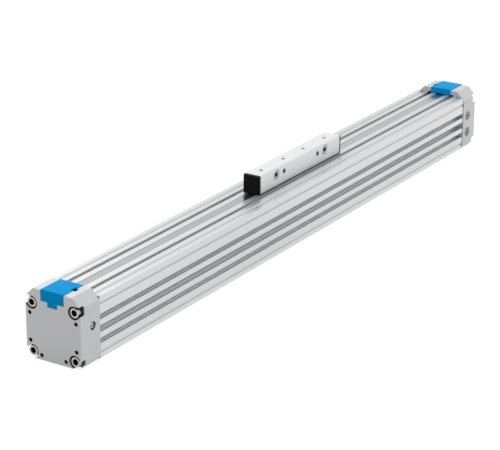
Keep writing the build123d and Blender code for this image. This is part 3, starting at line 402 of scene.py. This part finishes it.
def lit_thread_aluminium(tree, colours, sizes):
    # Port threads: bright cut metal, a painted lighter copy of the hole threads' finish for the
    # light that reaches into the open ports.
    film = stretched_noise(tree, [0.0006] * 3, 2.0, 0.5)
    finish_surface(tree, film, shade(tree, film, colours.port_thread, 0.85, 1.1), (0.35, 0.5),
                   {"Metallic": 0.6})


def dark_polyurethane(tree, colours, sizes):
    # Extruded polyurethane: dark grey, smooth and a little glossy, with faint lines along it.
    lines = stretched_noise(tree, (0.3, 0.0008, 0.05), 2.0, 0.5)
    finish_surface(tree, lines, shade(tree, lines, colours.inner_band, 0.92, 1.1), (0.3, 0.42),
                   {"Metallic": 0.0, "IOR": 1.5})


def ferrite_magnet(tree, colours, sizes):
    # Ferrite powder in rubber or plastic: dull brown black, with a fine speckle.
    speckle = stretched_noise(tree, [0.0004] * 3, 2.0, 0.7)
    finish_surface(tree, speckle, shade(tree, speckle, colours.magnet, 0.7, 1.4), (0.5, 0.65),
                   {"Metallic": 0.0, "IOR": 1.55})


FINISHES = {
    "anodised_aluminium": extruded_anodised_aluminium,
    "cap_aluminium": blasted_anodised_aluminium,
    "driver_aluminium": milled_anodised_aluminium,
    "machined_aluminium": plain_turned_aluminium,
    "band_steel": rolled_stainless_steel,
    "screw_steel": nickel_plated_steel,
    "plated_steel": zinc_plated_steel,
    "blue_plastic": moulded_blue_plastic,
    "black_plastic": black_acetal,
    "guide_plastic": natural_acetal,
    "seal_rubber": nitrile_rubber,
    "band_polyurethane": dark_polyurethane,
    "magnet_rubber": ferrite_magnet,
    "magnet_plastic": ferrite_magnet,
}


def finished(make):
    """The material of a finish, made the first time that it is wanted."""
    material = bpy.data.materials.get(make.__name__)
    if material is None:
        material = bpy.data.materials.new(make.__name__)
        material.use_nodes = True
        material.node_tree.nodes.clear()
        scene = bpy.context.scene
        make(material.node_tree, scene.cylinder_colours, scene.cylinder_finish)
    return material


def finish_for(slot):
    """The material of one of the model's slots."""
    return finished(FINISHES[slot])


def slot_of(node):
    """The material slot that the model gives a node."""
    for part in frame["record"]["subparts"]:
        if part["node"] == node:
            return part["material_slot"]
    raise KeyError(node)


def dress(*nodes):
    """Gives nodes of the model that stay the material of their slot."""
    for node in nodes:
        for place in frame["nodes"][node].material_slots:
            place.material = finish_for(slot_of(node))


# Mesh tools


def hexagon(width):
    """Outline of a hexagon socket that is this wide across its flats."""
    return lambda angle: width / 2 / cos((angle + pi / 6) % (pi / 3) - pi / 6)


def knurled(radius, depth, ridges):
    """Outline of a knurled head: a groove between every two ridges."""
    return lambda angle: radius - depth * (0.5 + 0.5 * cos(ridges * angle))


def place_corner(corner, radius, height):
    """Moves a corner to a height and to a radius, or to an outline's radius at its angle."""
    angle = atan2(corner.co.y, corner.co.x)
    reach = radius(angle) if callable(radius) else radius
    sideways = cos(angle - pi / 2)      # the sine, a quarter turn behind the cosine
    corner.co = (reach * cos(angle), reach * sideways, height)


def next_ring(shape, ring, radius, height):
    """Extrudes a ring of edges and moves the new ring to this radius or outline and height."""
    made = bmesh.ops.extrude_edge_only(shape, edges=ring)["geom"]
    corners = {part for part in made if isinstance(part, bmesh.types.BMVert)}
    for corner in corners:
        place_corner(corner, radius, height)
    return [part for part in made
            if isinstance(part, bmesh.types.BMEdge) and all(v in corners for v in part.verts)]


def turn_shape(stations, segments):
    """A solid about Z whose outline goes through these (radius or outline, height) stations."""
    shape = bmesh.new()
    made = bmesh.ops.create_circle(shape, segments=segments, radius=1.0)["verts"]
    first_radius, first_height = stations[0]
    for corner in made:
        place_corner(corner, first_radius, first_height)
    first = shape.edges[:]
    ring = first
    for radius, height in stations[1:]:
        ring = next_ring(shape, ring, radius, height)
    next_ring(shape, first, 0.0, first_height)
    next_ring(shape, ring, 0.0, stations[-1][1])
    bmesh.ops.remove_doubles(shape, verts=shape.verts, dist=1e-7)
    return shape


def wind_thread(shape, foot, crest, pitch, start, end, steps=24):
    """Winds a ridge about Z, from one height to another, that stands from foot to crest."""
    foot_half, crest_half = 0.42, 0.07      # half the ridge's width there, in pitches
    corners = [shape.verts.new((radius, 0.0, start + rise * pitch))
               for radius, rise in ((foot, -foot_half), (crest, -crest_half),
                                    (crest, crest_half), (foot, foot_half))]
    edges = [shape.edges.new(pair) for pair in zip(corners, corners[1:] + corners[:1])]
    turns = abs(end - start) / pitch
    step = pitch / steps if end > start else -pitch / steps
    last = bmesh.ops.spin(shape, geom=corners + edges, cent=(0, 0, 0), axis=(0, 0, 1),
                          dvec=(0, 0, step), angle=2 * pi * turns, steps=round(turns * steps),
                          use_merge=False)["geom_last"]
    shape.faces.new(corners)
    bmesh.ops.contextual_create(
        shape, geom=[part for part in last if isinstance(part, bmesh.types.BMEdge)])
    return shape


def socket_stations(hex_width, hex_depth, edge):
    """Stations of a hexagon socket, from its drilled bottom to its mouth at height 0."""
    socket = hexagon(hex_width)
    return [(0.35 * hex_width, -hex_depth - 0.12 * hex_width), (socket, -hex_depth),
            (socket, -edge), (0.63 * hex_width, 0.0)]


def darken_socket(shape, hex_width, hex_depth):
    """Gives the inside of a hexagon socket the second finish of its piece, its painted shade."""
    for face in shape.faces:
        centre = face.calc_center_median()
        if centre.xy.length < 0.61 * hex_width and centre.z > -hex_depth - 0.15 * hex_width:
            face.material_index = 1
    return shape


def socket_screw(head_radius, head_height, hex_width, hex_depth, radius, length_below,
                 thread_start, pitch):
    """A screw with a knurled head and a hexagon socket: its top is at height 0, its tip below."""
    sizes = bpy.context.scene.cylinder_screws
    head = knurled(head_radius, sizes.knurl_depth, sizes.ridges)
    core = radius - THREAD_DEPTH * pitch
    tip = -head_height - length_below
    stations = socket_stations(hex_width, hex_depth, 0.4 * sizes.edge) + [
        (head_radius - sizes.edge, 0.0), (head_radius - 0.3 * sizes.edge, -0.3 * sizes.edge),
        (head, -sizes.edge), (head, -head_height + sizes.edge),
        (head_radius - 0.6 * sizes.edge, -head_height), (radius + 0.6 * sizes.edge, -head_height),
        (radius, -head_height - 0.6 * sizes.edge), (radius, -head_height - thread_start),
        (core, -head_height - thread_start - 0.4 * pitch), (core, tip + pitch),
        (core - 0.7 * pitch, tip)]
    shape = darken_socket(turn_shape(stations, 2 * sizes.ridges), hex_width, hex_depth)
    return wind_thread(shape, core - THREAD_SINK * pitch, radius, pitch,
                       -head_height - thread_start - pitch, tip + 1.5 * pitch)


def facing(point, outwards):
    """Moves a shape's height 0 to a point and turns its top to look this way."""
    return Matrix.Translation(point) @ Vector(outwards).to_track_quat("Z", "Y").to_matrix().to_4x4()


def gather(shape, places):
    """One shape set at each place, in one new shape."""
    pattern = bpy.data.meshes.new("pattern")
    shape.to_mesh(pattern)
    shape.free()
    together = bmesh.new()
    for place in places:
        before = len(together.verts)
        together.from_mesh(pattern)
        together.verts.ensure_lookup_table()
        bmesh.ops.transform(together, matrix=place, verts=together.verts[before:])
    bpy.data.meshes.remove(pattern)
    return together


def add_piece(name, shape, slot, sharp=32, finishes=()):
    """Makes a finished shape an object with the material of a slot, or with several finishes."""
    bmesh.ops.recalc_face_normals(shape, faces=shape.faces)
    mesh = bpy.data.meshes.new(name)
    shape.to_mesh(mesh)
    shape.free()
    for finish in finishes or [finish_for(slot)]:
        mesh.materials.append(finish)
    mesh.shade_smooth()
    mesh.set_sharp_from_angle(angle=radians(sharp))
    piece = bpy.data.objects.new(name, mesh)
    bpy.context.collection.objects.link(piece)
    return piece


def stand_in(node, shape, body, inside=None, ending="detailed", sharp=32):
    """Puts a finer piece in place of a node; the inside of its sockets can have its own finish."""
    slot = slot_of(node)
    finishes = [finish_for(slot)] + ([finished(inside)] if inside else [])
    piece = add_piece(f"{node}_{ending}", shape, slot, sharp, finishes)
    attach(piece, body)
    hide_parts(node)


def copy_node(node):
    """The mesh of a node of the model, merged, as a shape."""
    shape = bmesh.new()
    shape.from_mesh(frame["nodes"][node].data)
    bmesh.ops.remove_doubles(shape, verts=shape.verts, dist=1e-6)
    return shape


# Pieces


class CYLINDER_OT_dress_barrel(bpy.types.Operator):
    """Gives the barrel and its magnet strips their materials"""
    bl_idname = "cylinder.dress_barrel"
    bl_label = "Barrel"

    def execute(self, context):
        dress("barrel_profile", "band_magnets")
        return {"FINISHED"}


class CYLINDER_OT_dress_end_caps(bpy.types.Operator):
    """Gives the end caps and the plain pieces in them their materials"""
    bl_idname = "cylinder.dress_end_caps"
    bl_label = "End caps"

    def execute(self, context):
        for side in OUTWARDS:
            dress(f"{side}_end_cap", f"{side}_cushion_spigot",
                  f"{side}_band_anchor", f"{side}_band_clamp")
        return {"FINISHED"}


class CYLINDER_OT_dress_carriage(bpy.types.Operator):
    """Gives the driver, yoke, plates, strips and guides their materials"""
    bl_idname = "cylinder.dress_carriage"
    bl_label = "Carriage"

    def execute(self, context):
        dress("driver_block", "piston_yoke", "front_slide_strip", "back_slide_strip")
        for side in OUTWARDS:
            dress(f"{side}_driver_plate", f"{side}_cover_band_guide", f"{side}_sealing_band_guide")
        return {"FINISHED"}


class CYLINDER_OT_dress_pistons(bpy.types.Operator):
    """Gives both piston heads and the rings on them their materials"""
    bl_idname = "cylinder.dress_pistons"
    bl_label = "Pistons"

    def execute(self, context):
        for side in OUTWARDS:
            dress(f"{side}_piston_head", f"{side}_piston_seal", f"{side}_wear_ring",
                  f"{side}_piston_magnet", f"{side}_cushion_seal")
        return {"FINISHED"}


class CYLINDER_OT_lay_bands(bpy.types.Operator):
    """Lays each band as two straight runs and the bend that rides through the carriage"""
    bl_idname = "cylinder.lay_bands"
    bl_label = "Bands"

    def execute(self, context):
        reach = context.scene.cylinder_pieces.band_reach
        carriage = middle("driver_block").x
        for node in ("cover_band", "sealing_band"):
            ends = low(node).x, high(node).x
            bend = carriage - reach, carriage + reach
            stretches = {"left_run": (ends[0], bend[0]), "bend": bend,
                         "right_run": (bend[1], ends[1])}
            for word, (start, end) in stretches.items():
                shape = copy_node(node)
                for place, side in ((start, 1), (end, -1)):
                    if place in ends:
                        continue
                    everything = shape.verts[:] + shape.edges[:] + shape.faces[:]
                    cut = bmesh.ops.bisect_plane(
                        shape, geom=everything, dist=1e-7, plane_co=(place, 0, 0),
                        plane_no=(side, 0, 0), clear_inner=True)["geom_cut"]
                    rim = [part for part in cut if isinstance(part, bmesh.types.BMEdge)]
                    bmesh.ops.contextual_create(shape, geom=rim)
                piece = add_piece(f"{node}_{word}", shape, slot_of(node), sharp=20)
                if word == "bend":
                    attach(piece, "carriage")
                elif word == "left_run":
                    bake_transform(piece)
                else:
                    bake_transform(piece)
                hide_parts(node)
        return {"FINISHED"}


class CYLINDER_OT_make_cap_screws(bpy.types.Operator):
    """Makes the four screws that hold each end cap"""
    bl_idname = "cylinder.make_cap_screws"
    bl_label = "End cap screws"

    def execute(self, context):
        head_radius, head_height = 0.005, 0.006
        lowest, highest = low("left_cap_screws"), high("left_cap_screws")
        for side, turn in ENDS:
            screw = socket_screw(head_radius, head_height, hex_width=0.005, hex_depth=0.004,
                                 radius=0.003, length_below=highest.x - lowest.x - head_height,
                                 thread_start=0.016,
                                 pitch=context.scene.cylinder_screws.thread_pitch)
            places = [turn @ facing((lowest.x, y, z), (-1, 0, 0))
                      for y in (lowest.y + head_radius, highest.y - head_radius)
                      for z in (lowest.z + head_radius, highest.z - head_radius)]
            stand_in(f"{side}_cap_screws", gather(screw, places), "barrel", socket_shade_steel)
        return {"FINISHED"}


class CYLINDER_OT_make_clamp_screws(bpy.types.Operator):
    """Makes the two small screws that press each band clamp down"""
    bl_idname = "cylinder.make_clamp_screws"
    bl_label = "Clamp screws"

    def execute(self, context):
        head_radius, head_height = 0.00275, 0.002
        lowest, highest = low("left_clamp_screws"), high("left_clamp_screws")
        for side, turn in ENDS:
            screw = socket_screw(head_radius, head_height, hex_width=0.002, hex_depth=0.0012,
                                 radius=0.0015, length_below=highest.z - lowest.z - head_height,
                                 thread_start=0.003,
                                 pitch=context.scene.cylinder_screws.small_pitch)
            places = [turn @ facing((lowest.x + head_radius, y, highest.z), (0, 0, 1))
                      for y in (lowest.y + head_radius, highest.y - head_radius)]
            stand_in(f"{side}_clamp_screws", gather(screw, places), "barrel", socket_shade_steel)
        return {"FINISHED"}


class CYLINDER_OT_make_head_screws(bpy.types.Operator):
    """Makes the screw in the middle of each piston head"""
    bl_idname = "cylinder.make_head_screws"
    bl_label = "Piston head screws"

    def execute(self, context):
        head_radius, head_height = 0.005, 0.004
        lowest, highest = low("left_head_screw"), high("left_head_screw")
        for side, outwards in OUTWARDS.items():
            node = f"{side}_head_screw"
            screw = socket_screw(head_radius, head_height, hex_width=0.004, hex_depth=0.0022,
                                 radius=0.003, length_below=highest.x - lowest.x - head_height,
                                 thread_start=0.003,
                                 pitch=context.scene.cylinder_screws.thread_pitch)
            mouth = low(node).x if outwards < 0 else high(node).x
            place = facing((mouth, middle(node).y, middle(node).z), (outwards, 0, 0))
            stand_in(node, gather(screw, [place]), "carriage", socket_shade_steel)
        return {"FINISHED"}


class CYLINDER_OT_make_driver_screws(bpy.types.Operator):
    """Makes the two countersunk screws in the driver's side"""
    bl_idname = "cylinder.make_driver_screws"
    bl_label = "Driver screws"

    def execute(self, context):
        sizes = context.scene.cylinder_screws
        head_radius, radius, pitch = 0.0057, 0.003, sizes.thread_pitch
        hex_width, hex_depth = 0.004, 0.0028
        rim, rim_drop, shank, runout = 0.0003, 0.0001, 0.001, 0.0004
        lowest, highest = low("driver_screws"), high("driver_screws")
        tip = lowest.y - highest.y
        cone = head_radius - radius
        core = radius - THREAD_DEPTH * pitch
        stations = socket_stations(hex_width, hex_depth, 0.4 * sizes.edge) + [
            (head_radius - rim, 0.0), (head_radius, -rim_drop), (radius, -cone),
            (radius, -cone - shank), (core, -cone - shank - runout), (core, tip + pitch),
            (core - 0.7 * pitch, tip)]
        screw = darken_socket(turn_shape(stations, 72), hex_width, hex_depth)
        wind_thread(screw, core - THREAD_SINK * pitch, radius, pitch,
                    -cone - shank - 2 * runout, tip + 1.5 * pitch)
        places = [facing((x, lowest.y, middle("driver_screws").z), (0, -1, 0))
                  for x in (lowest.x + head_radius, highest.x - head_radius)]
        stand_in("driver_screws", gather(screw, places), "carriage", socket_shade_steel)
        return {"FINISHED"}


class CYLINDER_OT_make_port_plugs(bpy.types.Operator):
    """Makes the socket plugs in the two ports that aren't used"""
    bl_idname = "cylinder.make_port_plugs"
    bl_label = "Port plugs"

    def execute(self, context):
        pitch = context.scene.cylinder_screws.port_pitch
        hex_width, hex_depth, socket_edge, bevel = 0.005, 0.0038, 0.0002, 0.0004
        thread_sink = 0.00002
        lowest, highest = low("port_plugs"), high("port_plugs")
        radius = (highest.x - lowest.x) / 2
        core = radius - 0.3 * pitch
        tip = lowest.y - highest.y
        stations = socket_stations(hex_width, hex_depth, socket_edge) + [
            (core - bevel, 0.0), (core, -bevel), (core, tip + bevel), (core - bevel, tip)]
        plug = darken_socket(turn_shape(stations, 72), hex_width, hex_depth)
        wind_thread(plug, core - thread_sink, radius, pitch, -2 * bevel, tip + 2 * bevel)
        places = [facing((middle("port_plugs").x, highest.y, z), (0, 1, 0))
                  for z in (lowest.z + radius, highest.z - radius)]
        stand_in("port_plugs", gather(plug, places), "barrel", socket_shade_steel)
        return {"FINISHED"}


class CYLINDER_OT_make_cushion_screws(bpy.types.Operator):
    """Makes the slotted screw that sets the cushioning at each end"""
    bl_idname = "cylinder.make_cushion_screws"
    bl_label = "Cushion screws"

    def execute(self, context):
        head_radius, radius, head_height, pitch = 0.0026, 0.003, 0.0038, 0.0005
        edge, core, groove = 0.0003, radius - 0.0003, radius - 0.0009
        slot_length, slot_width, slot_depth, ring_depth = 0.0056, 0.001, 0.0014, 0.0013
        for side, outwards in OUTWARDS.items():
            node = f"{side}_cushion_screw"
            lowest, highest = low(node), high(node)
            tip = lowest.y - highest.y
            # From the head down: the threaded core, a land, a ring's groove, a land and the needle.
            stations = [
                (head_radius - edge, 0.0), (head_radius, -edge), (head_radius, -head_height),
                (radius - 0.0004, -head_height), (core, -head_height - 0.0004),
                (core, tip + 0.0064), (radius, tip + 0.0062), (radius, tip + 0.0052),
                (groove, tip + 0.005), (groove, tip + 0.0034), (radius, tip + 0.0032),
                (radius, tip + 0.0016), (edge, tip)]
            shape = wind_thread(turn_shape(stations, 64), foot=core - 0.00002,
                                crest=radius - 0.00001, pitch=pitch,
                                start=-head_height - 0.0009, end=tip + 0.0068)
            # A dark rubber O-ring in the recess round the head; it also stands for the shade in
            # that recess.
            ring = o_ring(outer_radius=0.00415, width=0.0015, thickness=0.0016)
            bmesh.ops.translate(ring, verts=ring.verts, vec=(0, 0, -ring_depth))
            blade = bmesh.new()
            bmesh.ops.create_cube(
                blade, size=1.0,
                matrix=Matrix.Diagonal((slot_length, slot_width, 2 * slot_depth, 1.0)))
            cut_with(shape, blade)
            mouth = lowest.y if outwards < 0 else highest.y
            place = facing((middle(node).x, mouth, middle(node).z), (0, outwards, 0))
            stand_in(node, gather(shape, [place]), f"{side}_needle")
            piece = add_piece(f"{node}_ring", gather(ring, [place]), "seal_rubber")
            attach(piece, f"{side}_needle")
        return {"FINISHED"}


def cut_with(shape, blade):
    """Cuts a blade's form out of a shape."""
    objects = []
    for name, form in (("blank", shape), ("blade", blade)):
        bmesh.ops.recalc_face_normals(form, faces=form.faces)
        mesh = bpy.data.meshes.new(name)
        form.to_mesh(mesh)
        objects.append(bpy.data.objects.new(name, mesh))
        bpy.context.collection.objects.link(objects[-1])
    blank, cutter = objects
    cut = blank.modifiers.new("slot", "BOOLEAN")
    cut.operation = "DIFFERENCE"
    cut.solver = "EXACT"
    cut.use_self = True
    cut.object = cutter
    bpy.context.view_layer.update()
    result = bpy.data.meshes.new_from_object(
        blank.evaluated_get(bpy.context.evaluated_depsgraph_get()))
    shape.clear()
    shape.from_mesh(result)
    blade.free()
    for thing in objects:
        mesh = thing.data
        bpy.data.objects.remove(thing)
        bpy.data.meshes.remove(mesh)
    bpy.data.meshes.remove(result)


class CYLINDER_OT_make_cap_seals(bpy.types.Operator):
    """Makes the O-rings between each end cap, the bore and the air channels"""
    bl_idname = "cylinder.make_cap_seals"
    bl_label = "O-rings"

    def execute(self, context):
        cap_ring_width, channel_ring_width = 0.0016, 0.002
        for side in OUTWARDS:
            node = f"{side}_cap_seal"
            span = high(node) - low(node)
            ring = o_ring(span.z / 2, cap_ring_width, span.x)
            stand_in(node, gather(ring, [facing(middle(node), (1, 0, 0))]), "barrel",
                     ending="round")
            node = f"{side}_channel_seals"
            span = high(node) - low(node)
            radius = span.z / 2
            ring = o_ring(radius, channel_ring_width, span.x)
            places = [facing((middle(node).x, y, middle(node).z), (1, 0, 0))
                      for y in (low(node).y + radius, high(node).y - radius)]
            stand_in(node, gather(ring, places), "barrel", ending="round")
        return {"FINISHED"}


def o_ring(outer_radius, width, thickness):
    """An O-ring about Z, pressed to this width and thickness."""
    shape = bmesh.new()
    section = bmesh.ops.create_circle(shape, segments=16, radius=0.5)["verts"]
    place = (Matrix.Translation((outer_radius - width / 2, 0, 0)) @ Matrix.Rotation(pi / 2, 4, "X")
             @ Matrix.Diagonal((width, thickness, 1.0, 1.0)))
    bmesh.ops.transform(shape, matrix=place, verts=section)
    bmesh.ops.spin(shape, geom=shape.verts[:] + shape.edges[:], cent=(0, 0, 0), axis=(0, 0, 1),
                   angle=2 * pi, steps=72, use_merge=True)
    return shape


class CYLINDER_OT_make_band_covers(bpy.types.Operator):
    """Makes the blue covers over the band clamps, with the rounded edges of moulded plastic"""
    bl_idname = "cylinder.make_band_covers"
    bl_label = "Band covers"

    def execute(self, context):
        flat, corner = 2, 40            # angles between faces that are merged, and that are rounded
        for side in OUTWARDS:
            node = f"{side}_band_cover"
            shape = copy_node(node)
            bmesh.ops.dissolve_limit(shape, angle_limit=radians(flat), verts=shape.verts,
                                     edges=shape.edges)
            sharp = [edge for edge in shape.edges
                     if len(edge.link_faces) == 2 and edge.calc_face_angle() > radians(corner)]
            bmesh.ops.bevel(shape, geom=sharp, offset=context.scene.cylinder_pieces.cover_edge,
                            offset_type="OFFSET", affect="EDGES", segments=3, profile=0.5,
                            material=-1, clamp_overlap=True)
            stand_in(node, shape, "barrel", ending="moulded", sharp=corner)
        return {"FINISHED"}


class CYLINDER_OT_cut_threads(bpy.types.Operator):
    """Winds the thread ridges in the open ports, in the end holes and in the driver's top holes"""
    bl_idname = "cylinder.cut_threads"
    bl_label = "Threads in holes"

    def execute(self, context):
        sizes = context.scene.cylinder_screws
        foot, crest, mouth = 0.00212, 0.00196, 0.0007       # an M5 ridge, and how deep holes begin
        mounts = {mount["name"]: mount for mount in frame["record"]["mounts"]}
        ports = [Vector(mounts[name]["pos_m"]) for name in ("right_upper_port", "right_lower_port")]
        ridge = wind_thread(bmesh.new(), foot=0.00443, crest=0.00418, pitch=sizes.port_pitch,
                            start=-0.0004, end=-0.0092)
        places = [facing((port.x, low("right_end_cap").y + mouth, port.z), (0, -1, 0))
                  for port in ports]
        piece = add_piece("right_port_threads", gather(ridge, places), "cap_aluminium",
                          finishes=(finished(lit_thread_aluminium),))
        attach(piece, "barrel")
        for side in OUTWARDS:
            places = []
            for name in (f"{side}_end_holes", f"{side}_foot_holes"):
                mount = mounts[name]
                across = mount["dims"]["spacing_x_mm"] / 2000       # half of it, in metres
                up = mount["dims"].get("spacing_y_mm", 0.0) / 2000
                outwards = mount["axis"][0]
                heights = sorted({mount["pos_m"][2] - up, mount["pos_m"][2] + up})
                places += [facing((mount["pos_m"][0], y, z), (outwards, 0, 0))
                           for y in (-across, across) for z in heights]
            ridge = wind_thread(bmesh.new(), foot, crest, sizes.hole_pitch,
                                start=-0.0005, end=-0.0092, steps=20)
            piece = add_piece(f"{side}_hole_threads", gather(ridge, places), "cap_aluminium",
                          finishes=(finished(cut_thread_aluminium),))
            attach(piece, "barrel")
        places = []
        for name in ("driver_inner_holes", "driver_outer_holes"):
            mount = mounts[name]
            half = mount["dims"]["spacing_x_mm"] / 2000
            places += [facing((mount["pos_m"][0] + x, 0, high("driver_block").z - mouth), (0, 0, 1))
                       for x in (-half, half)]
        ridge = wind_thread(bmesh.new(), foot, crest, sizes.hole_pitch,
                            start=-0.0003, end=-0.0088, steps=20)
        piece = add_piece("driver_hole_threads", gather(ridge, places), "driver_aluminium",
                          finishes=(finished(cut_thread_aluminium),))
        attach(piece, "carriage")
        return {"FINISHED"}


class CYLINDER_OT_set_stage(bpy.types.Operator):
    """Sets the pale floor, the lamp, the surroundings and the camera"""
    bl_idname = "cylinder.set_stage"
    bl_label = "Stage"

    def execute(self, context):
        scene = context.scene
        sizes = scene.cylinder_stage
        floor_gap = 0.0002              # the floor lies this far below the caps
        lamp_size, lamp_place = (2.6, 1.6), Vector((0.25, 1.5, 1.9))
        # The camera was fitted to the corners of the end cap in the photo.
        camera_place = (-1.7486, -1.0832, 0.7936)
        camera_look = Vector((0.78696, 0.50436, -0.35541))
        scene.view_settings.view_transform = "Standard"

        shape = bmesh.new()
        bmesh.ops.create_grid(shape, x_segments=2, y_segments=2, size=sizes.floor / 2)
        bmesh.ops.translate(shape, verts=shape.verts, vec=(0, 0, low("left_end_cap").z - floor_gap))
        mesh = bpy.data.meshes.new("studio_floor")
        shape.to_mesh(mesh)
        shape.free()
        mesh.materials.append(finished(white_floor_paint))
        floor = bpy.data.objects.new("studio_floor", mesh)
        scene.collection.objects.link(floor)

        lamp = bpy.data.lights.new("key_lamp", "AREA")
        lamp.shape = "RECTANGLE"
        lamp.size, lamp.size_y = lamp_size
        lamp.energy = sizes.key_power
        key = bpy.data.objects.new("key_lamp", lamp)
        key.matrix_world = facing(lamp_place, lamp_place)
        scene.collection.objects.link(key)

        scene.world = studio_surroundings(sizes)

        view = bpy.data.cameras.new("photo_camera")
        view.sensor_width, view.lens = 36.0, sizes.lens
        view.clip_start, view.clip_end = 0.01, 100.0
        camera = bpy.data.objects.new("photo_camera", view)
        camera.matrix_world = (Matrix.Translation(camera_place)
                               @ camera_look.to_track_quat("-Z", "Y").to_matrix().to_4x4()
                               @ Matrix.Rotation(sizes.roll, 4, "Z"))
        scene.collection.objects.link(camera)
        scene.camera = camera
        return {"FINISHED"}


def white_floor_paint(tree, colours, sizes):
    # Matt white board: pure white to the eye and in reflections, with a soft trace of shadow on it.
    path = add_node(tree, "ShaderNodeLightPath")
    seen = path.outputs["Is Camera Ray"]
    for ray in ("Is Glossy Ray", "Is Transmission Ray"):
        seen = add_node(tree, "ShaderNodeMath", links={0: seen, 1: path.outputs[ray]},
                        operation="MAXIMUM").outputs[0]
    plain = add_node(tree, "ShaderNodeBsdfDiffuse", {"Color": (0.5, 0.5, 0.5, 1.0)})
    faint = add_node(tree, "ShaderNodeBsdfDiffuse", {"Color": (0.3, 0.3, 0.3, 1.0)})
    glow = add_node(tree, "ShaderNodeEmission", {"Color": (1.0, 1.0, 1.0, 1.0), "Strength": 0.8})
    bright = add_node(tree, "ShaderNodeAddShader", links={0: faint.outputs[0], 1: glow.outputs[0]})
    mixed = add_node(tree, "ShaderNodeMixShader",
                     links={0: seen, 1: plain.outputs[0], 2: bright.outputs[0]})
    add_node(tree, "ShaderNodeOutputMaterial", links={"Surface": mixed.outputs[0]})


def studio_surroundings(sizes):
    # A pale room, brightest on the right and low in front and darker on the left and behind, as
    # with white boards on that side.
    bright_side, fade = Vector((0.6, -0.74, -0.4)).normalized(), 0.8
    world = bpy.data.worlds.new("studio_surroundings")
    world.use_nodes = True
    tree = world.node_tree
    tree.nodes.clear()
    way = add_node(tree, "ShaderNodeTexCoord")
    toward = add_node(tree, "ShaderNodeVectorMath", {1: bright_side},
                      {0: way.outputs["Generated"]}, operation="DOT_PRODUCT")
    level = add_node(tree, "ShaderNodeMapRange",
                     {"From Min": -fade, "From Max": fade,
                      "To Min": sizes.sky_dark, "To Max": sizes.sky_bright},
                     {"Value": toward.outputs["Value"]})
    path = add_node(tree, "ShaderNodeLightPath")
    strength = add_node(tree, "ShaderNodeMath",
                        links={0: level.outputs["Result"], 1: path.outputs["Is Camera Ray"]},
                        operation="MAXIMUM")
    sky = add_node(tree, "ShaderNodeBackground", {"Color": (1.0, 1.0, 1.0, 1.0)},
                   {"Strength": strength.outputs[0]})
    add_node(tree, "ShaderNodeOutputWorld", links={"Surface": sky.outputs[0]})
    return world


GROUPS = (
    ("cylinder_colours", CylinderColours),
    ("cylinder_finish", FinishSizes),
    ("cylinder_screws", ScrewSizes),
    ("cylinder_pieces", PieceSizes),
    ("cylinder_stage", StageSizes),
)

OPERATORS = (
    CYLINDER_OT_dress_barrel,
    CYLINDER_OT_dress_end_caps,
    CYLINDER_OT_dress_carriage,
    CYLINDER_OT_dress_pistons,
    CYLINDER_OT_lay_bands,
    CYLINDER_OT_make_cap_screws,
    CYLINDER_OT_make_clamp_screws,
    CYLINDER_OT_make_head_screws,
    CYLINDER_OT_make_driver_screws,
    CYLINDER_OT_make_port_plugs,
    CYLINDER_OT_make_cushion_screws,
    CYLINDER_OT_make_cap_seals,
    CYLINDER_OT_make_band_covers,
    CYLINDER_OT_cut_threads,
    CYLINDER_OT_set_stage,
)


class CYLINDER_PT_pieces(bpy.types.Panel):
    """Lists the sizes and pieces of the rodless cylinder"""
    bl_label = "Rodless cylinder"
    bl_idname = "CYLINDER_PT_pieces"
    bl_space_type = "VIEW_3D"
    bl_region_type = "UI"
    bl_category = "Cylinder"

    def draw(self, context):
        for name, group in GROUPS:
            box = self.layout.box()
            for field in group.__annotations__:
                box.prop(getattr(context.scene, name), field)
        for operator in OPERATORS:
            self.layout.operator(operator.bl_idname)


def register():
    for name, group in GROUPS:
        bpy.utils.register_class(group)
        setattr(bpy.types.Scene, name, PointerProperty(type=group))
    for operator in OPERATORS:
        bpy.utils.register_class(operator)
    bpy.utils.register_class(CYLINDER_PT_pieces)


def unregister():
    bpy.utils.unregister_class(CYLINDER_PT_pieces)
    for operator in reversed(OPERATORS):
        bpy.utils.unregister_class(operator)
    for name, group in reversed(GROUPS):
        delattr(bpy.types.Scene, name)
        bpy.utils.unregister_class(group)


def main():
    register()
    for operator in OPERATORS:
        group, verb = operator.bl_idname.split(".")
        getattr(getattr(bpy.ops, group), verb)()


if __name__ == "__main__":
    main()
